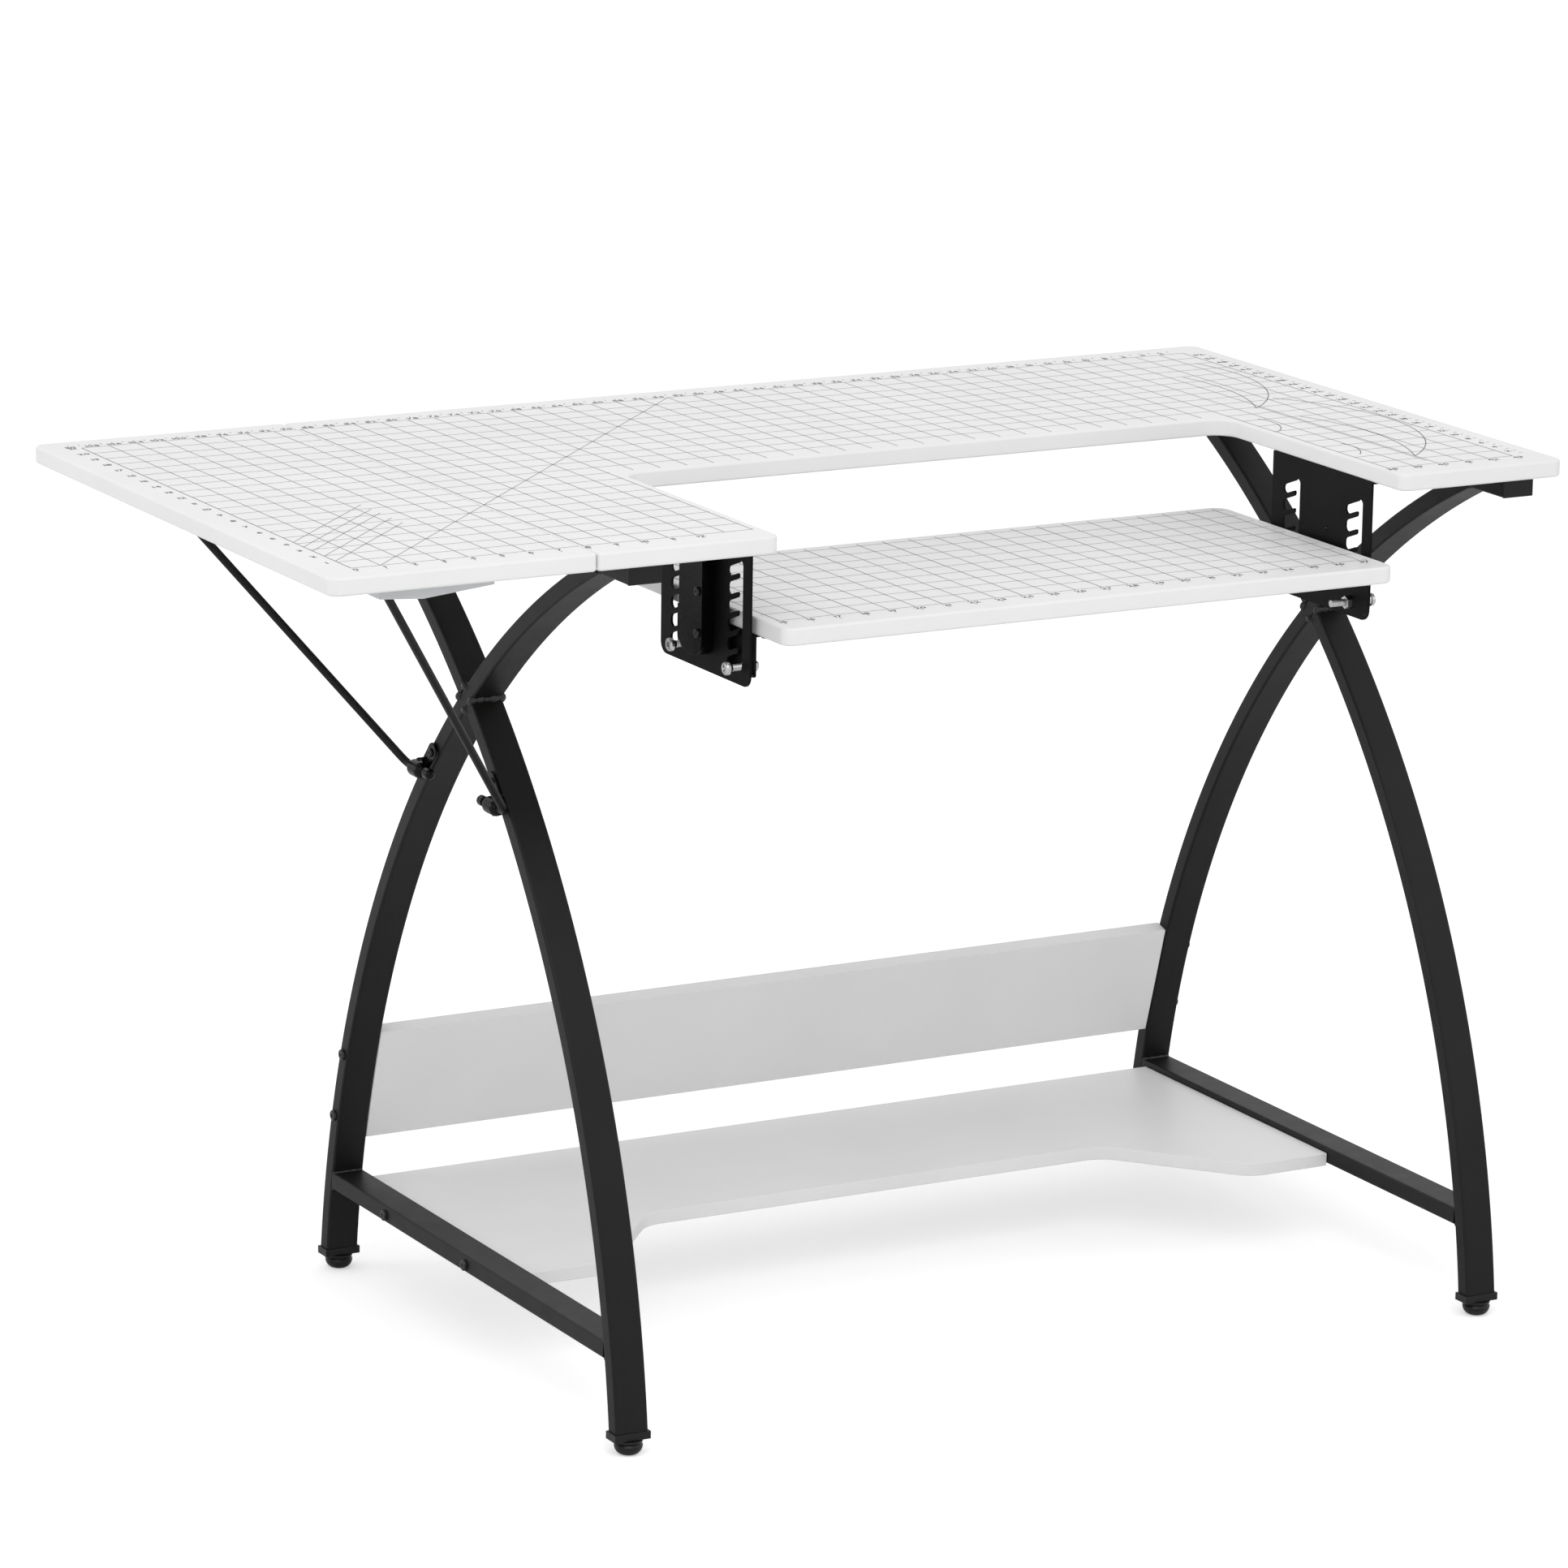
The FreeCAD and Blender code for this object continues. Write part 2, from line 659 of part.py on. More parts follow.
for name, along in (("front", "-places.tab_screw_across"), ("rear", "places.tab_screw_across")):
    screw(
        name + "_clamp_screws", "sizes.screw_radius", "sizes.screw_head",
        "sizes.screw_head_thick", "sizes.tab_thick + sizes.tube_wall * 2",
        "places.pivot_across + sizes.bail_stand - sizes.tab_thick", along,
        "places.tab_screw_up", "+x",
    )

for name, edge, sign in (("front", "places.front", "+"), ("rear", "places.rear", "-")):
    for across in ("sizes.catch_long * 0.36", "sizes.catch_long * 0.82"):
        woodScrew(
            name + "_catch_screws", "sizes.catch_base", "places.catch_left + " + across,
            "%s %s (sizes.catch_front + sizes.nose_wide + sizes.jaw_wide)" % (edge, sign),
            "places.board_under - sizes.catch_base",
        )

# Boards

mainBoard = board("main_board", [
    ("places.main_left", "places.front", "sizes.seam_corner"),
    ("places.opening_left", "places.front", "sizes.board_corner"),
    ("places.opening_left", "places.opening_rear", "sizes.opening_round"),
    ("places.opening_right", "places.opening_rear", "sizes.opening_round"),
    ("places.opening_right", "places.front", "sizes.board_corner"),
    ("places.main_right", "places.front", "sizes.board_corner"),
    ("places.main_right", "places.rear", "sizes.board_corner"),
    ("places.main_left", "places.rear", "sizes.seam_corner"),
], "sizes.board_thick", "places.board_under")
mainTop = cut("main_top", mainBoard,
              bores["rail_screws"] + bores["hinge_fixed_screws"] + bores["bracket_screws"])

leafBoard = board("leaf_board", [
    ("places.leaf_left", "places.front", "sizes.board_corner"),
    ("places.leaf_right", "places.front", "sizes.seam_corner"),
    ("places.leaf_right", "places.rear", "sizes.seam_corner"),
    ("places.leaf_left", "places.rear", "sizes.board_corner"),
], "sizes.board_thick", "places.board_under")
dropLeaf = cut("drop_leaf", leafBoard, bores["hinge_moving_screws"]
               + bores["front_catch_screws"] + bores["rear_catch_screws"])

platformBoard = board("platform_board", [
    ("places.platform_left", "places.front", "sizes.board_corner"),
    ("places.platform_right", "places.front", "sizes.board_corner"),
    ("places.platform_right", "places.platform_rear", "places.platform_round"),
    ("places.platform_left", "places.platform_rear", "places.platform_round"),
], "sizes.board_thick", "places.platform_under")
platform = cut("platform", platformBoard, bores["carrier_screws"])

shelfBoard = board("shelf_board", [
    ("places.bay_left", "places.shelf_ear"),
    ("places.ear_left", "places.shelf_ear", "sizes.shelf_round"),
    ("places.recess_left", "places.shelf_middle", "sizes.shelf_round"),
    ("places.recess_right", "places.shelf_middle", "sizes.shelf_round"),
    ("places.ear_right", "places.shelf_ear", "sizes.shelf_round"),
    ("places.bay_right", "places.shelf_ear"),
    ("places.bay_right", "places.shelf_rear"),
    ("places.bay_left", "places.shelf_rear"),
], "sizes.shelf_thick", "places.shelf_under")
shelf = cut("shelf", shelfBoard, bores["left_shelf_screws"] + bores["right_shelf_screws"])

panelBoard = box("panel_board", "places.bay_span", "sizes.panel_thick", "sizes.panel_tall",
                 "0", "-sizes.panel_thick / 2", "-sizes.panel_tall / 2")
panelTools = []
for number, (across, way) in enumerate((("0", "+x"), ("places.bay_span", "-x")), 1):
    for level, up in enumerate(("-sizes.panel_bolt_pitch / 2", "sizes.panel_bolt_pitch / 2"), 1):
        panelTools.append(rod(
            "panel_bore_%d_%d" % (number, level), "sizes.bolt_radius + sizes.screw_fit",
            "sizes.bolt_grip + sizes.tip_gap", across, "0", up, way,
        ))
backPanel = cut("back_panel", panelBoard, panelTools)
backPanel.Placement = FreeCAD.Placement(FreeCAD.Vector(), FreeCAD.Rotation(axes["+x"], 1))
put(backPanel, "places.bay_left", "places.panel_across", "sizes.panel_height")
bind(backPanel, Placement__Rotation__Angle="asin(places.lean_share)")


# End frames: rectangular tube bent to an arc, with the bend in its thin direction

def arcBand(sketch, centre, outer, inner, low, high):
    middle = FreeCAD.Vector(numberOf(centre), numberOf("places.leg_centre_up"), 0)
    heights = [numberOf(low), numberOf(high)]
    side = -1 if middle.x > 0 else 1
    edges = []
    ends = []
    for name in (outer, inner):
        radius = numberOf(name)
        angles = []
        for height in heights:
            rise = math.asin((height - middle.y) / radius)
            angles.append(rise if side > 0 else math.pi - rise)
        ends.append([middle + FreeCAD.Vector(math.cos(a), math.sin(a), 0) * radius for a in angles])
        edges.append(sketch.addGeometry(arcEdge(middle, radius, min(angles), max(angles)), False))
        radiusIs(sketch, edges[-1], name)
    hold(sketch, edges[0], 3, centre, "places.leg_centre_up")
    sketch.addConstraint(Sketcher.Constraint("Coincident", edges[0], 3, edges[1], 3))
    for level, height in enumerate((low, high)):
        line = sketch.addGeometry(Part.LineSegment(ends[0][level], ends[1][level]), False)
        point = 1 + (level if side > 0 else 1 - level)
        sketch.addConstraint(Sketcher.Constraint("Coincident", line, 1, edges[0], point))
        sketch.addConstraint(Sketcher.Constraint("Coincident", line, 2, edges[1], point))
        sketch.addConstraint(Sketcher.Constraint("Horizontal", line))
        index = sketch.addConstraint(
            Sketcher.Constraint("DistanceY", -1, 1, line, 1, numberOf(height)))
        sketch.setExpression("Constraints[%d]" % index, height)


def arcTube(name, tube, centre):
    body = newBody(name)
    outside = newSketch(body, name + "_outside", "YZ_Plane")
    arcBand(outside, centre, "places.arc_outer", "places.arc_inner",
            "sizes.leg_end", "places.rail_under")
    pad(body, name + "_band", outside, "sizes.tube_wide", symmetric=True)
    inside = newSketch(body, name + "_inside", "YZ_Plane")
    arcBand(inside, centre, "places.hollow_outer", "places.hollow_inner",
            "places.hollow_bottom", "places.hollow_top")
    pocketThrough(body, name + "_hollow", inside, "places.hollow_wide")
    bind(body, Placement__Base__x=tube)
    return body


def roundAbout(name, radius, tube, centre):
    return rod(name, radius, "sizes.tube_wide + sizes.tube_overrun",
               "%s - (sizes.tube_wide + sizes.tube_overrun) / 2" % tube,
               centre, "places.leg_centre_up", "+x")


nodes = {}
for side, sign, tube, inward, outward in sides:
    arc = arcTube(side + "_arc", tube, "places.rear_leg_centre")
    legBores = list(bores[side + "_panel_bolts"])
    if side == "left":
        legBores += bores["rear_clamp_screws"]
    nodes[side + "_arc_tube"] = cut(side + "_arc_tube", arc, legBores)
    crossing = arcTube(side + "_crossing", tube, "places.front_leg_centre")
    within = roundAbout(side + "_within", "places.weld_inner", tube, "places.rear_leg_centre")
    lower = common(side + "_lower_tube", crossing, within)
    if side == "left":
        lower.Label = "left_lower_leg"
        lower = cut("left_lower_tube_drilled", lower, bores["front_clamp_screws"])
        lower.Label = "left_lower_tube"
    nodes[side + "_lower_tube"] = lower
    beyond = roundAbout(side + "_beyond", "places.weld_outer", tube, "places.rear_leg_centre")
    nodes[side + "_upper_tube"] = cut(side + "_upper_tube", crossing, [beyond])

    start = "%s - places.tube_half" % tube
    inset = "%s - places.hollow_wide / 2" % tube
    railOuter = box(side + "_rail_outer", "sizes.tube_wide", "places.rail_half * 2",
                    "sizes.tube_deep", start, "-places.rail_half", "places.rail_under")
    railHollow = box(side + "_rail_hollow", "places.hollow_wide",
                     "places.rail_half * 2 + sizes.cut_overrun * 2", "places.hollow_deep",
                     inset, "-places.rail_half - sizes.cut_overrun",
                     "places.rail_under + sizes.tube_wall")
    nodes[side + "_top_rail"] = cut(side + "_top_rail", railOuter,
                                    [railHollow] + bores["rail_screws"])

    barOuter = box(side + "_stretcher_outer", "sizes.tube_wide", "places.foot_across * 2",
                   "sizes.tube_deep", start, "-places.foot_across", "sizes.stretcher_under")
    barHollow = box(side + "_stretcher_hollow", "places.hollow_wide",
                    "places.foot_across * 2 + sizes.cut_overrun * 2", "places.hollow_deep",
                    inset, "-places.foot_across - sizes.cut_overrun",
                    "sizes.stretcher_under + sizes.tube_wall")
    bar = cut(side + "_stretcher_bar", barOuter, [barHollow] + bores[side + "_shelf_screws"])
    behind = roundAbout(side + "_behind", "places.weld_inner", tube, "places.front_leg_centre")
    trimmed = common(side + "_stretcher_front", bar, behind)
    nodes[side + "_stretcher"] = common(side + "_stretcher", trimmed, within)

# plastic caps that close the ends of the top rails
capItems = []
for side, sign, tube, inward, outward in sides:
    for end, way in (("front", "-"), ("rear", "+")):
        name = "%s_%s_cap" % (side, end)
        flangeStart = "places.rail_half" if way == "+" else "-places.rail_half - sizes.cap_flange"
        plugStart = ("places.rail_half - sizes.cap_plug" if way == "+" else "-places.rail_half")
        flange = box(name + "_flange", "sizes.tube_wide", "sizes.cap_flange", "sizes.tube_deep",
                     "%s - places.tube_half" % tube, flangeStart, "places.rail_under")
        plug = box(name + "_plug", "places.hollow_wide - sizes.plug_fit * 2", "sizes.cap_plug",
                   "places.hollow_deep - sizes.plug_fit * 2",
                   "%s - places.hollow_wide / 2 + sizes.plug_fit" % tube, plugStart,
                   "places.rail_under + sizes.tube_wall + sizes.plug_fit")
        capItems.append(fuse(name, [flange, plug]))
nodes["rail_end_caps"] = group("rail_end_caps", capItems)

# ferrules in the leg ends and the glides that turn in them
ferruleItems = []
for side, sign, tube, inward, outward in sides:
    for end, way, centre in (("front", "-", "places.front_leg_centre"),
                             ("rear", "", "places.rear_leg_centre")):
        name = "%s_%s" % (side, end)
        along = way + "places.foot_across"
        flange = box(name + "_ferrule_flange", "sizes.ferrule_wide", "sizes.ferrule_deep",
                     "sizes.ferrule_thick", "%s - sizes.ferrule_wide / 2" % tube,
                     "%s - sizes.ferrule_deep / 2" % along, "sizes.leg_end - sizes.ferrule_thick")
        rough = box(name + "_plug_rough", "places.hollow_wide - sizes.plug_fit * 2",
                    "sizes.tube_wide", "sizes.ferrule_rise",
                    "%s - places.hollow_wide / 2 + sizes.plug_fit" % tube,
                    "%s - places.tube_half" % along, "sizes.leg_end")
        outer = roundAbout(name + "_plug_limit", "places.plug_outer", tube, centre)
        inner = roundAbout(name + "_plug_core", "places.plug_inner", tube, centre)
        plug = cut(name + "_plug", common(name + "_plug_outer", rough, outer), [inner])
        solid = fuse(name + "_ferrule_solid", [flange, plug])
        bore = rod(name + "_ferrule_bore", "sizes.stem_radius + sizes.running_fit",
                   "sizes.stem_rise + sizes.tip_gap", tube, along,
                   "sizes.leg_end - sizes.ferrule_thick", "+z")
        ferruleItems.append(cut(name + "_ferrule", solid, [bore]))

        glide = newBody("glide_" + name)
        profile = newSketch(glide, "glide_%s_profile" % name, "XZ_Plane")
        outline(profile, [
            (None, None),
            ("sizes.glide_radius", None, "sizes.glide_dome"),
            ("sizes.glide_radius", "places.groove_low"),
            ("places.glide_waist", "places.groove_mid"),
            ("sizes.glide_radius", "places.groove_high"),
            ("sizes.glide_radius", "places.glide_top"),
            ("sizes.stem_radius", "places.glide_top"),
            ("sizes.stem_radius", "places.stem_top"),
            (None, "places.stem_top"),
        ])
        turned = glide.newObject("PartDesign::Revolution", "glide_%s_turned" % name)
        turned.Profile = profile
        turned.ReferenceAxis = (profile, ["V_Axis"])
        bind(glide, Placement__Base__x=tube, Placement__Base__y=along)
        nodes["glide_" + name] = glide
nodes["foot_ferrules"] = group("foot_ferrules", ferruleItems)

# Toothed brackets, blocks and carriers of the platform


def bracket(name, edge, backwards):
    body = newBody(name)
    plate = newSketch(body, name + "_plate", "YZ_Plane")
    outline(plate, [
        ("sizes.bracket_front", None),
        ("sizes.bracket_front", "places.bracket_low", "sizes.bracket_round"),
        ("places.bracket_back", "places.bracket_low", "sizes.bracket_round"),
        ("places.bracket_back", None),
    ])
    pad(body, name + "_web", plate, "sizes.bracket_thick", backwards=backwards)
    lip = newSketch(body, name + "_lip", "YZ_Plane")
    outline(lip, [
        ("sizes.bracket_front", None),
        ("sizes.bracket_front", "places.flange_low"),
        ("places.bracket_back", "places.flange_low"),
        ("places.bracket_back", None),
    ])
    pad(body, name + "_flange", lip, "places.flange_out", backwards=backwards)
    lanes = newSketch(body, name + "_lanes", "YZ_Plane")
    longHole(lanes, ("sizes.lane_front", "places.lane_low"),
             ("sizes.lane_front", "places.lane_high"), "sizes.lane_half")
    longHole(lanes, ("places.lane_rear", "places.lane_low"),
             ("places.lane_rear", "places.lane_high"), "sizes.lane_half")
    pocketThrough(body, name + "_lane_cut", lanes, "sizes.bracket_thick * 4")
    notch = newSketch(body, name + "_notch", "YZ_Plane")
    longHole(notch, ("sizes.lane_front", "places.mouth_up"),
             ("places.front_seat", "places.seat_up"), "sizes.lane_half")
    longHole(notch, ("places.lane_rear", "places.mouth_up"),
             ("places.rear_seat", "places.seat_up"), "sizes.lane_half")
    notchCut = pocketThrough(body, name + "_notch_cut", notch, "sizes.bracket_thick * 4")
    rack = body.newObject("PartDesign::LinearPattern", name + "_teeth")
    rack.Originals = [notchCut]
    rack.Direction = (notch, ["V_Axis"])
    bind(rack, Length="places.travel", Occurrences="counts.slots")
    body.Tip = rack
    return put(body, edge, "places.front", "places.board_under")


def hangingPlate(name, edge, backwards, ends, high, low, corner, thick):
    body = newBody(name)
    shape = newSketch(body, name + "_shape", "YZ_Plane")
    outline(shape, [
        (ends[0], high),
        (ends[0], low, corner),
        (ends[1], low, corner),
        (ends[1], high),
    ])
    pad(body, name + "_plate", shape, thick, backwards=backwards)
    return put(body, edge, "places.front", "places.board_under")


pinItems = []
nutItems = []
for side, sign, tube, inward, outward in sides:
    out = "places.middle %s " % sign
    backwards = sign == "-"
    raw = bracket(side + "_bracket_raw", out + "places.opening_half", backwards)
    nodes[side + "_toothed_bracket"] = cut(
        side + "_toothed_bracket", raw, bores["bracket_screws"] + bores[side + "_block_screws"])
    rawBlock = hangingPlate(
        side + "_block_raw", out + "places.bracket_out", backwards,
        ("sizes.block_front", "places.block_back"), "places.block_high", "places.block_low",
        "sizes.block_round", "sizes.block_thick")
    nodes[side + "_bracket_block"] = cut(
        side + "_bracket_block", rawBlock, bores[side + "_block_screws"])

    # angle under the platform: its upright carries the two height pins
    near = out + "places.platform_half"
    flangeStart = near if backwards else near + " - sizes.carrier_flange"
    upright = hangingPlate(
        side + "_carrier_upright", near, not backwards,
        ("sizes.carrier_front", "places.carrier_back"), "places.carrier_high",
        "places.carrier_low", "sizes.carrier_round", "sizes.carrier_thick")
    flange = box(side + "_carrier_flange", "sizes.carrier_flange", "sizes.carrier_long",
                 "sizes.carrier_thick", flangeStart, "places.front + sizes.carrier_front",
                 "places.platform_under - sizes.carrier_thick")
    angle = fuse(side + "_carrier_angle", [upright, flange])
    pinBores = []
    tail = out + "(places.platform_half - sizes.carrier_thick - sizes.nut_thick - sizes.pin_tail)"
    for end, lane in (("front", "sizes.lane_front"), ("rear", "places.lane_rear")):
        name = "%s_%s_pin" % (side, end)
        along = "places.front + " + lane
        up = "places.pin_height"
        shank = rod(name + "_shank", "sizes.pin_radius", "places.pin_length",
                    tail, along, up, outward)
        collar = rod(name + "_collar", "sizes.pin_collar_radius", "sizes.pin_collar_thick",
                     near, along, up, outward)
        head = rod(name + "_head", "sizes.pin_head_radius", "sizes.pin_head_thick",
                   out + "places.pin_shoulder", along, up, outward)
        pinItems.append(fuse(name, [shank, collar, head]))
        bore = rod(name + "_bore", "sizes.pin_radius + sizes.screw_fit", "places.pin_length",
                   tail, along, up, outward)
        pinBores.append(bore)
        hexagon = doc.addObject("Part::Prism", name + "_hexagon")
        face(hexagon, outward)
        bind(hexagon, Circumradius="sizes.nut_radius", Height="sizes.nut_thick")
        put(hexagon, out + "(places.platform_half - sizes.carrier_thick - sizes.nut_thick)",
            along, up)
        nutItems.append(cut(name + "_nut", hexagon, [bore]))
    nodes[side + "_carrier"] = cut(side + "_carrier", angle, pinBores + bores["carrier_screws"])
nodes["height_pins"] = group("height_pins", pinItems)
nodes["height_pin_nuts"] = group("height_pin_nuts", nutItems)

# Drop leaf hinges: three knuckles on the fixed plate, two on the moving one

hingePins = []
plates = {"fixed": [], "moving": []}
for end, sign in (("front", "-"), ("rear", "")):
    start = "%splaces.hinge_along - sizes.hinge_long / 2" % sign
    pin = rod("hinge_pin_" + end, "sizes.hinge_pin_radius", "sizes.hinge_long",
              "places.hinge_line", start, "places.hinge_height", "+y")
    hingePins.append(pin)
    pinBore = rod("hinge_pin_bore_" + end, "sizes.hinge_pin_radius + sizes.running_fit",
                  "sizes.hinge_long", "places.hinge_line", start, "places.hinge_height", "+y")
    for kind, order in (("fixed", (0, 2, 4)), ("moving", (1, 3))):
        name = "hinge_%s_%s" % (kind, end)
        near = "places.hinge_line" if kind == "fixed" else "places.hinge_line - places.plate_start"
        far = ("places.hinge_line + places.plate_start" if kind == "fixed"
               else "places.hinge_line - sizes.hinge_reach")
        low = "places.board_under - sizes.hinge_thick"
        items = [box(name + "_plate", "places.plate_wide", "sizes.hinge_long",
                     "sizes.hinge_thick", far, start, low)]
        for index in order:
            at = "%s + places.knuckle_step * %d + sizes.knuckle_gap / 2" % (start, index)
            items.append(rod("%s_knuckle_%d" % (name, index), "sizes.knuckle_radius",
                             "places.knuckle_long", "places.hinge_line", at,
                             "places.hinge_height", "+y"))
            items.append(box("%s_web_%d" % (name, index), "places.plate_start",
                             "places.knuckle_long", "sizes.hinge_thick / 2",
                             near, at, low))
        solid = fuse(name + "_solid", items)
        plates[kind].append(cut(name, solid, [pinBore] + bores["hinge_%s_screws" % kind]))
nodes["hinge_fixed_plates"] = group("hinge_fixed_plates", plates["fixed"])
nodes["hinge_moving_plates"] = group("hinge_moving_plates", plates["moving"])
nodes["hinge_pins"] = group("hinge_pins", hingePins)

# Bail: one bent rod, drawn in its own leaning plane from the pivot up to the bar

bail = newBody("bail")
spine = newSketch(bail, "bail_spine", "YZ_Plane")
outline(spine, [
    ("places.bail_end", None),
    ("places.bail_foot", None, "sizes.bail_bend"),
    ("places.bail_bar", "places.bail_leg", "sizes.bail_bend"),
    ("places.bail_bar_far", "places.bail_leg", "sizes.bail_bend"),
    ("places.bail_foot_far", None, "sizes.bail_bend"),
    ("places.bail_end_far", None),
], closed=False)
section = newSketch(bail, "bail_section", "XZ_Plane")
ring = section.addGeometry(
    Part.Circle(FreeCAD.Vector(), axes["+z"], numberOf("sizes.bail_radius")), False)
section.addConstraint(Sketcher.Constraint("Coincident", ring, 3, -1, 1))
radiusIs(section, ring, "sizes.bail_radius")
bind(section, AttachmentOffset__Base__z="-places.bail_end")
pipe = bail.newObject("PartDesign::AdditivePipe", "bail_rod")
pipe.Profile = section
pipe.Spine = spine
bail.Placement = FreeCAD.Placement(FreeCAD.Vector(), FreeCAD.Rotation(axes["-y"], 1))
put(bail, "places.pivot_across", "0", "places.pivot_up")
bind(bail, Placement__Rotation__Angle="places.bail_lean")
nodes["bail"] = bail

capRods = []
for end, sign, way in (("front", "-", "-y"), ("rear", "", "+y")):
    whole = rod("bail_cap_%s_whole" % end, "sizes.bail_cap_radius", "sizes.bail_cap_long",
                "places.pivot_across", sign + "(places.bail_end - sizes.bail_cap_wall)",
                "places.pivot_up", way)
    socket = rod("bail_cap_%s_socket" % end, "places.bail_bore", "sizes.bail_cap_long",
                 "places.pivot_across", sign + "places.bail_end", "places.pivot_up", way)
    capRods.append(cut("bail_cap_" + end, whole, [socket]))
nodes["bail_end_caps"] = group("bail_end_caps", capRods)

# glossy clamps: a sleeve round the rod, a base on the tube's face and a screwed tab
for end, sign in (("front", "-"), ("rear", "")):
    name = "bail_clamp_" + end
    along = sign + "places.clamp_across"
    sleeve = rod(name + "_sleeve", "sizes.sleeve_radius", "sizes.sleeve_long",
                 "places.pivot_across", along + " - sizes.sleeve_long / 2",
                 "places.pivot_up", "+y")
    base = box(name + "_base", "sizes.bail_stand", "sizes.sleeve_long",
               "sizes.sleeve_radius * 2", "places.pivot_across",
               along + " - sizes.sleeve_long / 2",
               "places.pivot_up - sizes.sleeve_radius")
    tab = box(name + "_tab", "sizes.tab_thick", "sizes.tab_wide", "sizes.tab_long",
              "places.pivot_across + sizes.bail_stand - sizes.tab_thick", "0", "0")
    tab.Placement = FreeCAD.Placement(
        FreeCAD.Vector(), FreeCAD.Rotation(axes["-x" if end == "front" else "+x"], 1))
    # the tab is centred on the tube: half its width is laid off square to the tube's slope
    put(tab, "places.pivot_across + sizes.bail_stand - sizes.tab_thick",
        along + " - sizes.tab_wide / 2 * places.clamp_stand_share",
        "places.pivot_up %s sizes.tab_wide / 2 * places.clamp_lean_share"
        % ("+" if end == "front" else "-"))
    bind(tab, Placement__Rotation__Angle="places.clamp_lean")
    solid = fuse(name + "_solid", [sleeve, base, tab])
    bore = rod(name + "_bore", "places.bail_bore", "sizes.sleeve_long * 2",
               "places.pivot_across", along + " - sizes.sleeve_long",
               "places.pivot_up", "+y")
    nodes[name] = cut(name, solid, [bore] + bores[end + "_clamp_screws"])


# Leaf catches: a plate, a wedge at the corner and a jaw that takes the bail's bar

def catch(name, edge, toRear, tools):
    body = newBody(name + "_moulding")
    profiles = (
        ("plate", "sizes.catch_front", "sizes.catch_wide", [
            (None, None),
            (None, "places.catch_under"),
            ("sizes.catch_long", "places.catch_under"),
            ("sizes.catch_long", None),
        ]),
        ("nose", "sizes.catch_front", "sizes.nose_wide", [
            (None, None),
            (None, "places.nose_tip_down"),
            ("sizes.nose_crown_out", "places.nose_crown_down"),
            ("sizes.catch_long", "places.nose_tail_down"),
            ("sizes.catch_long", None),
        ]),
        ("jaw", "places.jaw_front", "sizes.jaw_wide", [
            ("places.jaw_inner", None),
            ("places.jaw_inner", "places.jaw_lip_top"),
            ("places.jaw_lip_end", "places.jaw_lip_top"),
            ("places.jaw_lip_end", "places.jaw_low"),
            ("places.jaw_outer", "places.jaw_low"),
            ("places.jaw_outer", None),
        ]),
    )
    for label, start, wide, corners in profiles:
        sketch = newSketch(body, "%s_%s_profile" % (name, label), "XZ_Plane")
        bind(sketch, AttachmentOffset__Base__z=("-" if toRear else "") + start)
        outline(sketch, corners)
        pad(body, "%s_%s" % (name, label), sketch, wide, backwards=toRear)
    put(body, "places.catch_left", edge, "places.board_under")
    return cut(name, body, tools)


nodes["bail_catch_front"] = catch(
    "bail_catch_front", "places.front", True, bores["front_catch_screws"])
nodes["bail_catch_rear"] = catch(
    "bail_catch_rear", "places.rear", False, bores["rear_catch_screws"])

# Fasteners as they are kept

nodes.update({
    "main_top": mainTop,
    "drop_leaf": dropLeaf,
    "platform": platform,
    "shelf": shelf,
    "back_panel": backPanel,
})
screwNodes = {
    "rail_screws": ("rail_screws",),
    "shelf_screws": ("left_shelf_screws", "right_shelf_screws"),
    "panel_bolts": ("left_panel_bolts", "right_panel_bolts"),
    "bracket_screws": ("bracket_screws",),
    "bracket_block_screws": ("left_block_screws", "right_block_screws"),
    "carrier_screws": ("carrier_screws",),
    "hinge_fixed_screws": ("hinge_fixed_screws",),
    "hinge_moving_screws": ("hinge_moving_screws",),
    "clamp_screws": ("front_clamp_screws", "rear_clamp_screws"),
    "catch_screws": ("front_catch_screws", "rear_catch_screws"),
}
for name, kinds in screwNodes.items():
    items = [item for kind in kinds for item in screws[kind]]
    nodes[name] = group(name + "_set", items)

doc.recompute()

failed = [item.Name for item in doc.Objects if "Invalid" in item.State or "Error" in item.State]
if failed:
    raise RuntimeError("not built: " + ", ".join(failed))
for name, item in nodes.items():
    item.Label = name
    shape = item.Shape
    if shape.isNull() or not shape.isValid() or not shape.Solids:
        raise RuntimeError("no sound shape: " + name)
for name, item in nodes.items():
    item.Shape.exportStep("parts/%s.step" % name)
print(len(nodes), "nodes written")
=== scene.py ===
import bpy
import bmesh
import math
from mathutils import Matrix, Vector


